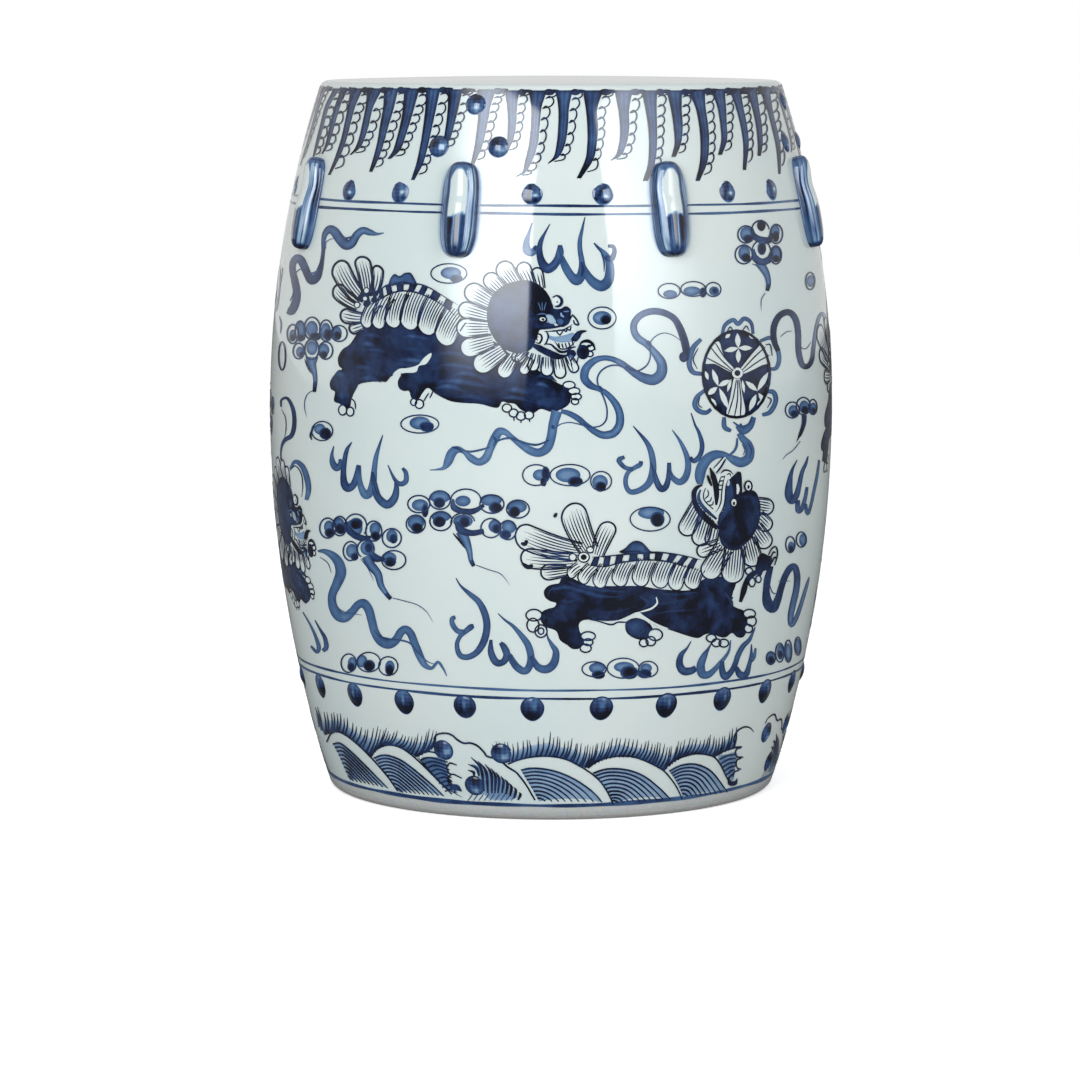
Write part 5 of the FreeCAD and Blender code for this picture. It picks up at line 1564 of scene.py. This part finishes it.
def lug_grid(azimuth, seed):
    """One lug: a pod with a flat ridge, a steep top ledge and a shallow dip, and its painting."""
    dice = random.Random(seed)
    stations = np.sin(np.linspace(-1.0, 1.0, 61) * math.pi / 2.0)
    shares = np.concatenate([[-1.3, -1.16, -1.04], np.sin(np.linspace(-1.0, 1.0, 49) * math.pi / 2.0),
                             [1.04, 1.16, 1.3]])
    s, t = np.meshgrid(stations, shares, indexing="ij")
    taper = (1.0 - np.minimum(np.abs(s), 0.9995) ** 3.2) ** (1.0 / 3.2)
    ledge = (1.0 - np.minimum(np.abs(s), 0.9995) ** 5.0) ** (1.0 / 5.0)
    ridge = (LUG_HEIGHT - LUG_DIP * hump(s, 0.38, 0.28)) * ledge
    rise = np.maximum(1.0 - np.minimum(np.abs(t), 1.0) ** 2.7, 0.0) ** (1.0 / 2.7) * ridge
    skirt = np.maximum(np.abs(t) - 1.0, 0.0)
    height = LUG_CENTRE + 0.5 * LUG_LENGTH * s
    across = t * 0.5 * LUG_WIDTH * np.maximum(taper, 0.06) + np.sign(t) * skirt * 0.002
    az = azimuth + across / side_radius(height)
    points, out = on_side(az, height, np.where(skirt > 0.0, WASH_LIFT, rise + RELIEF_LIFT))
    u = t + 0.06 * math.sin(azimuth * 3.0)
    w = -u if seed in MIRRORED_LUGS else u
    reach = np.abs(u + 0.02)
    flat = np.clip((0.53 - reach) / 0.05, 0.0, 1.0)
    upper = np.clip((s + 0.16 + 0.04 * np.cos(u * 5.0 + seed)) / 0.04, 0.0, 1.0)
    arch = np.clip((0.86 - s - 1.4 * np.maximum(np.abs(u) - 0.12, 0.0) ** 2) / 0.06, 0.0, 1.0)
    lower = 0.84 + 0.08 * np.sin(s * 7.0 + seed)
    # dark streaks are brushwork; the pale streaks in the dark lower part are painted reflections
    for centre, wide, tone in LUG_STREAKS_AND_GLINTS:
        near = np.exp(-((w - centre - 0.04 * np.sin(s * 3.0 + seed)) / wide) ** 2)
        lower = lower + (tone - lower) * near * np.clip((s + 0.9) / 0.16, 0.0, 1.0)
    pale = 0.30 + 0.10 * np.sin(s * 5.0 + seed)
    sides = np.where(w > 0.0, pale, pale + 0.20)
    sides = sides + 0.14 * np.sin(reach * 46.0 + seed)
    sides = np.where(w < 0.0, np.maximum(sides, 0.98 * hump(reach, 0.61, 0.060)), sides)
    sides = np.where(w > 0.0, np.maximum(sides, 0.95 * hump(reach, 0.82, 0.035)), sides)
    sides = np.maximum(sides, 0.80 * hump(reach, 0.56, 0.030))
    sides = np.where(s > 0.84, np.maximum(sides, 0.55), sides)
    middle = upper * (0.01 * arch + (1.0 - arch) * 0.62) + (1.0 - upper) * lower
    ink = sides * (1.0 - flat) + flat * middle
    rim = 0.86 + 0.14 * np.sin(s * 4.0 + dice.uniform(0.0, 6.0))
    ink = np.maximum(ink, 0.99 * hump(np.abs(t), 0.97, 0.045) * rim)
    ink = np.maximum(ink, 0.96 * hump(s, 0.93, 0.03))
    base = np.clip((-0.84 - s) / 0.08, 0.0, 1.0)
    ink = np.maximum(ink, base * (0.93 + 0.06 * np.sin(u * 9.0)))
    wash = np.clip(1.0 - skirt / 0.3, 0.0, 1.0) * 0.34
    ink = np.where(skirt > 0.0, np.where(skirt < 0.05, 0.8, wash), ink)
    ink = np.where(skirt > 0.28, 0.0, ink)
    inside = np.clip(t, -1.0, 1.0)
    swing = np.stack([np.cos(az), np.sin(az), 0.0 * az], -1)
    swing = swing * (1.1 * inside * (1.0 - np.abs(inside)))[:, :, None]
    return {"points": points, "out": out, "ink": ink, "swing": swing}


def upper_boss_ink(u, v, past, below, twist, grain):
    """A leaf of blue with a pale heart that is a painted highlight, turned a little on each boss."""
    c, q = math.cos(twist), math.sin(twist)
    p, r = c * u - q * v, q * u + c * v
    leaf = np.sqrt(np.maximum(1.0 - r * r, 0.0)) * (1.0 - 0.42 * np.clip(r, 0.0, 1.0)) - np.abs(p)
    dark = np.exp(-((p + 0.28 - 0.3 * r) / 0.26) ** 2)
    # the pale patch at lower right is a painted highlight
    ink = 0.62 + 0.30 * dark - 0.62 * hump(p, 0.28, 0.26) * hump(r, -0.18, 0.20)
    ink = ink + 0.30 * hump(leaf, 0.05, 0.07) + grain
    foot = hump(p, 0.30, 0.36) * hump(r, -0.66, 0.24)
    ink = np.clip(ink + (0.97 - ink) * foot, 0.04, 0.98) * np.clip((leaf + 0.03) / 0.06, 0.0, 1.0)
    return np.where(past > 0.0, np.where(past > 0.05, 0.0, 0.7) * below, ink)


def lower_boss_ink(u, v, past, below, twist, grain):
    """Dark all over, with a lighter streak that is a painted highlight, and a drawn edge."""
    ink = np.clip(0.90 - 0.30 * v + 0.8 * grain, 0.55, 1.0)
    # the lighter streak is a painted highlight
    ink = np.clip(ink - 0.34 * hump(u, 0.12 + 0.2 * twist, 0.20) * hump(v, 0.15, 0.42), 0.0, 1.0)
    return np.where(past > 0.0, np.where(past > 0.12, 0.0, 0.97), ink)


def bead_ink(u, v, past, below, twist, grain):
    """Dark on one side and pale on the other: partly paint left thin, partly a painted reflection."""
    c, q = math.cos(2.0 * twist), math.sin(2.0 * twist)
    p, r = c * u - q * v, q * u + c * v
    ink = 0.66 + 0.34 * hump(p, -0.1, 0.5) * hump(r, 0.5, 0.42)
    # the pale patch at lower right is partly thin paint and partly a painted reflection
    ink = ink - 0.44 * hump(p, 0.28, 0.42) * hump(r, -0.42, 0.36) + 0.16 * (u * u + v * v) ** 2
    return np.where(past > 0.05, 0.0, np.clip(ink + grain, 0.12, 0.99))


DOME_INKS = {"upper": upper_boss_ink, "lower": lower_boss_ink, "bead": bead_ink}


def dome_grid(azimuth, height, diameter, rise, kind, seed):
    """One boss or bead with the paint that covers it and runs a little past its foot."""
    dice = random.Random(seed)
    half = 0.5 * diameter
    ball = arc_radius(half, rise)
    reach = np.concatenate([np.linspace(0.0, 1.0, 12), [1.03, 1.10, 1.14]])
    rho, phi = np.meshgrid(reach, np.linspace(0.0, 2.0 * math.pi, 37), indexing="ij")
    past = np.maximum(rho - 1.0, 0.0)
    below = np.exp(-((np.angle(np.exp(1j * (phi + math.pi / 2.0)))) / 0.62) ** 2)
    drip = {"lower": dice.uniform(0.8, 2.2), "upper": dice.uniform(0.1, 0.5), "bead": 0.15}[kind]
    far = half * (np.minimum(rho, 1.0) + past * (1.0 + drip * below))
    cap = np.sqrt(np.maximum(ball * ball - (half * np.minimum(rho, 1.0)) ** 2, 0.0)) - (ball - rise)
    lift = np.where(past > 0.0, WASH_LIFT, np.maximum(cap, 0.0) + RELIEF_LIFT)
    level = height + far * np.sin(phi) * math.cos(float(side_lean(height)))
    points, out = on_side(azimuth + far * np.cos(phi) / side_radius(level), level, lift)
    u = rho * np.cos(phi)
    v = rho * np.sin(phi)
    twist = dice.uniform(-0.5, 0.5)
    grain = 0.06 * np.sin(u * 13.0 + seed) + 0.05 * np.sin(v * 17.0 + 2.0 * seed)
    return {"points": points, "out": out, "ink": DOME_INKS[kind](u, v, past, below, twist, grain)}


def luted_pieces(cobalt):
    """Lugs, bosses and beads, where the frame has them."""
    for n, degrees in enumerate(LUG_AZIMUTHS, 1):
        lug = lug_grid(math.radians(degrees), n)
        relief(f"painted_lug_{n}", [lug], [f"lug_{n}"], cobalt)
    pitches = [math.radians(FIRST_BOSS + BOSS_PITCH * n) for n in range(24)]
    upper = [dome_grid(turn, UPPER_BOSS_ROW, BOSS_WIDTH, UPPER_BOSS_RISE, "upper", n)
             for n, turn in enumerate(pitches) if n % 3]
    upper_nodes = [f"upper_boss_{n:02d}" for n in range(1, 17)]
    relief("painted_upper_bosses", upper, upper_nodes, cobalt)
    lower = [dome_grid(turn, LOWER_BOSS_ROW, BOSS_WIDTH, LOWER_BOSS_RISE, "lower", n + 40)
             for n, turn in enumerate(pitches)]
    lower_nodes = [f"lower_boss_{n:02d}" for n in range(1, 25)]
    relief("painted_lower_bosses", lower, lower_nodes, cobalt)
    for row, groups, pair, single, shift in (("rim", RIM_GROUPS, 0.417, 0.4425, 1.0),
                                             ("foot", FOOT_GROUPS, 0.044, 0.022, 0.0)):
        beads = []
        for k, degrees in enumerate(groups):
            for height, off in ((pair, -7.0), (pair, 7.0), (single, shift)):
                turn = math.radians(degrees + off)
                beads.append(dome_grid(turn, height, BEAD_WIDTH, BEAD_RISE, "bead", 7 * k + int(off) + 90))
        nodes = [f"{row}_beads_{n}" for n in range(1, 5)]
        relief(f"painted_{row}_beads", beads, nodes, cobalt)


def ring_lines(sheet):
    """The painted bands round the barrel, a little uneven and out of level as drawn on the wheel."""
    rings = ((0.4502, 0.0013, 0.90, BAND_TILT), (0.3817, 0.0014, 0.72, BAND_TILT),
             (0.3768, 0.0015, 0.76, BAND_TILT), (0.0852, 0.0014, 0.70, BAND_TILT),
             (0.0800, 0.0016, 0.80, BAND_TILT), (0.0103, 0.0026, 0.72, 0.0))
    turn = np.linspace(0.0, 2.0 * math.pi, 361)
    shares = np.linspace(-1.0, 1.0, 3)
    for n, (height, width, tone, tilt) in enumerate(rings):
        wave = 0.00022 * np.sin(3.0 * turn + n) + 0.00012 * np.sin(11.0 * turn + 2.0 * n)
        middle = height + wave - tilt * float(side_radius(height)) * np.sin(turn)
        if n == 0:
            middle -= 0.0019 * np.sin(turn) ** 2
        thick = 0.5 * width * (1.0 + 0.18 * np.sin(7.0 * turn + n) + 0.12 * np.sin(23.0 * turn))
        ink = tone + 0.10 * np.sin(2.0 * turn + 1.7 * n) + 0.05 * np.sin(17.0 * turn)
        azimuth = np.repeat(turn[:, None], len(shares), 1)
        heights = middle[:, None] + thick[:, None] * shares[None, :]
        inks = np.clip(ink[:, None] - 0.10 * np.abs(shares)[None, :], 0.0, 1.0)
        sheet.band(azimuth, heights, inks, 1)


def sheets(kind, figures, tail=""):
    """A pair of sheets, for washes and for lines, with figures painted on them."""
    pair = Sheet(kind + "_wash" + tail), Sheet(kind + "_line" + tail)
    for figure in figures:
        figure(*pair)
    return pair


def lay_round(pair, places, suffix="", keep=None):
    for sheet in pair:
        sheet.build("root", cobalt, places, suffix, keep)


cobalt = painted("cobalt_under_glaze")
glaze = glazed("clear_white_glaze")
# the foot's material carries painted shade
clay = clay_foot_with_painted_shade("clay_foot_painted_shade")
barrel_pieces(glaze, clay)
luted_pieces(cobalt)

# The frieze: the front as in the photograph, the same figures behind, and figures to fill the sides
AS_SEEN = [(0.0, 1.0, 0.0)]
FAR_EDGE = math.radians(-52.0)
frieze = sheets("frieze", [upper_lion, lion_face_upper, lower_lion, brocade_ball, clouds, flames, ribbons,
                           left_edge])
for sheet in frieze:
    sheet.build("root", cobalt, AS_SEEN, "_front")
    sheet.build("root", cobalt, [(math.radians(176.5), 0.97, FAR_EDGE)], "_far",
                (FAR_EDGE, math.radians(75.0)))
# Each window in the photograph, the turn in degrees that takes it to the side, and its drop
SIDE_FLAMES = {"east": (445, 575, 560, 680, 101.0, 0.0), "east_top": (518, 215, 625, 296, 88.0, -0.004),
               "west": (518, 215, 625, 296, -90.0, -0.022)}
SIDE_CLOUDS = {"east": (400, 480, 535, 565, 129.0, -0.036), "east_low": (578, 650, 662, 690, 96.0, 0.0),
               "east_top": (650, 268, 735, 308, 82.0, -0.004), "west": (400, 480, 535, 565, -72.0, 0.050),
               "west_top": (650, 268, 735, 308, -128.0, -0.034)}
for kind, figure, windows in (("flame", flames, SIDE_FLAMES), ("cloud", clouds, SIDE_CLOUDS)):
    pair = sheets("side_" + kind, [figure])
    for place, (x0, y0, x1, y1, turn, drop) in windows.items():
        (west, east), (top, low) = lay([[x0, y0], [x1, y1]])
        lay_round(pair, [(math.radians(turn), 1.0, 0.0, drop)], "_" + place, (west, east, low, top))
lay_round(sheets("lion", [upper_lion, lion_face_upper]),
          [(math.radians(-64.4), 1.0, 0.0, -0.1315), (math.radians(120.0), 1.0, 0.0, -0.0440)])

# The spike band: the front as seen, then sixteen of its spikes twice behind
front_spikes = sheets("spike", [])
back_spikes = sheets("spike", [], "_back")
for n, (points, loops) in enumerate(SPIKES):
    spike(*front_spikes, points, loops)
    if 3 <= n <= 18:
        spike(*back_spikes, points, loops)
first_spike = math.radians(-49.1)
lay_round(front_spikes, AS_SEEN)
lay_round(back_spikes,
          [(math.radians(122.1), 1.015, first_spike), (math.radians(232.1), 1.015, first_spike)])

# Rocks stand at the groups of foot beads, and the waves between them stretch to fit
turns = [math.radians(group - FOOT_GROUPS[0]) for group in FOOT_GROUPS]
lay_round(sheets("rock", [rock_and_wave]), [(turn, 1.0, 0.0) for turn in turns])
anchor = float(lay([(586, 768)])[0][0])
span = turns[1] - 0.1 - anchor + math.radians(FOOT_GROUPS[0])
stretch = [1.0, 1.0 + math.radians(92.5 - 86.8) / span, 1.0 + math.radians(90.5 - 86.8) / span]
lay_round(sheets("wave", [waves_right]), [(turns[k], stretch[k], anchor) for k in range(3)])
lay_round(sheets("wave", [waves_left], "_left"), AS_SEEN)
bands = Sheet("ring_bands")
ring_lines(bands)
bands.build("root", cobalt, AS_SEEN)


def softbox(name, azimuth, width, glow, dim_side, bright_side):
    """A tall lamp, full at the top and fading to its foot and, between two shares, to one side."""
    light = bpy.data.lights.new(name, "AREA")
    light.shape = "RECTANGLE"
    light.size = width
    light.size_y = LAMP_TALL
    light.color = (0.90, 0.95, 1.0)
    light.energy = glow * math.pi * width * LAMP_TALL
    light.use_nodes = True
    tree = light.node_tree
    place = put(tree, "ShaderNodeNewGeometry", {}).outputs["Parametric"]
    split = put(tree, "ShaderNodeSeparateXYZ", {"Vector": place})
    down = map_range(tree, split.outputs["Y"], 0.0, 0.42, 0.05, 1.0, "SMOOTHSTEP")
    over = map_range(tree, split.outputs["X"], dim_side, bright_side, 0.0, 1.0, "SMOOTHSTEP")
    tree.links.new(calculate(tree, "MULTIPLY", down, over), tree.nodes["Emission"].inputs["Strength"])
    lamp = bpy.data.objects.new(name, light)
    bpy.context.collection.objects.link(lamp)
    a = math.radians(azimuth)
    e = math.radians(LAMP_ELEVATION)
    target = Vector((0.0, 0.0, LAMP_TARGET))
    aim = Vector((math.cos(e) * math.sin(a), -math.cos(e) * math.cos(a), math.sin(e)))
    lamp.location = target + LAMP_DISTANCE * aim
    lamp.rotation_euler = (target - lamp.location).to_track_quat("-Z", "Y").to_euler()
    return lamp


def studio():
    """A white studio behind, above and to the right, dim where the camera stands."""
    world = bpy.data.worlds.new("studio")
    bpy.context.scene.world = world
    world.use_nodes = True
    tree = world.node_tree
    look = put(tree, "ShaderNodeTexCoord", {}).outputs["Generated"]
    split = put(tree, "ShaderNodeSeparateXYZ", {"Vector": look})
    back = map_range(tree, split.outputs["Y"], -0.9, 0.8, 0.11, 0.72, "SMOOTHSTEP")
    sky = map_range(tree, split.outputs["Z"], 0.3, 1.0, 0.0, 0.85)
    side = map_range(tree, split.outputs["X"], 0.2, 1.0, 0.0, 0.55, "SMOOTHSTEP")
    glow = calculate(tree, "MAXIMUM", back, calculate(tree, "MAXIMUM", side, sky))
    seen = put(tree, "ShaderNodeLightPath", {}).outputs["Is Camera Ray"]
    background = tree.nodes["Background"]
    tree.links.new(mix(tree, seen, glow, 1.0), background.inputs["Strength"])
    background.inputs["Color"].default_value = (1.0, 1.0, 1.0, 1.0)
    bpy.context.scene.view_settings.view_transform = "Standard"


def pale_floor():
    """White paper: glowing for the camera, grey as a light and dark in the glaze."""
    mesh = bpy.data.meshes.new("floor")
    mesh.from_pydata([(-6, -6, 0), (6, -6, 0), (6, 6, 0), (-6, 6, 0)], [], [(0, 1, 2, 3)])
    floor = bpy.data.objects.new("floor", mesh)
    bpy.context.collection.objects.link(floor)
    paper = bpy.data.materials.new("pale_floor")
    paper.use_nodes = True
    tree = paper.node_tree
    shader = tree.nodes["Principled BSDF"]
    path = put(tree, "ShaderNodeLightPath", {})
    seen = path.outputs["Is Camera Ray"]
    shade = mix(tree, path.outputs["Is Glossy Ray"], PAPER_AS_LIGHT, PAPER_IN_GLAZE, data_type="RGBA")
    tone = mix(tree, seen, shade, PAPER_SEEN, data_type="RGBA")
    tree.links.new(tone, shader.inputs["Base Color"])
    tree.links.new(calculate(tree, "MULTIPLY", seen, 0.45), shader.inputs["Emission Strength"])
    shader.inputs["Emission Color"].default_value = (1.0, 1.0, 1.0, 1.0)
    shader.inputs["Roughness"].default_value = 0.7
    mesh.materials.append(paper)
    return floor


softbox("key_left", -28.6, 1.72, 8.6, 0.0, 0.42)
softbox("key_right", 47.0, 1.95, 6.6, 1.0, 0.1)
studio()
floor = pale_floor()

bpy.context.view_layer.update()
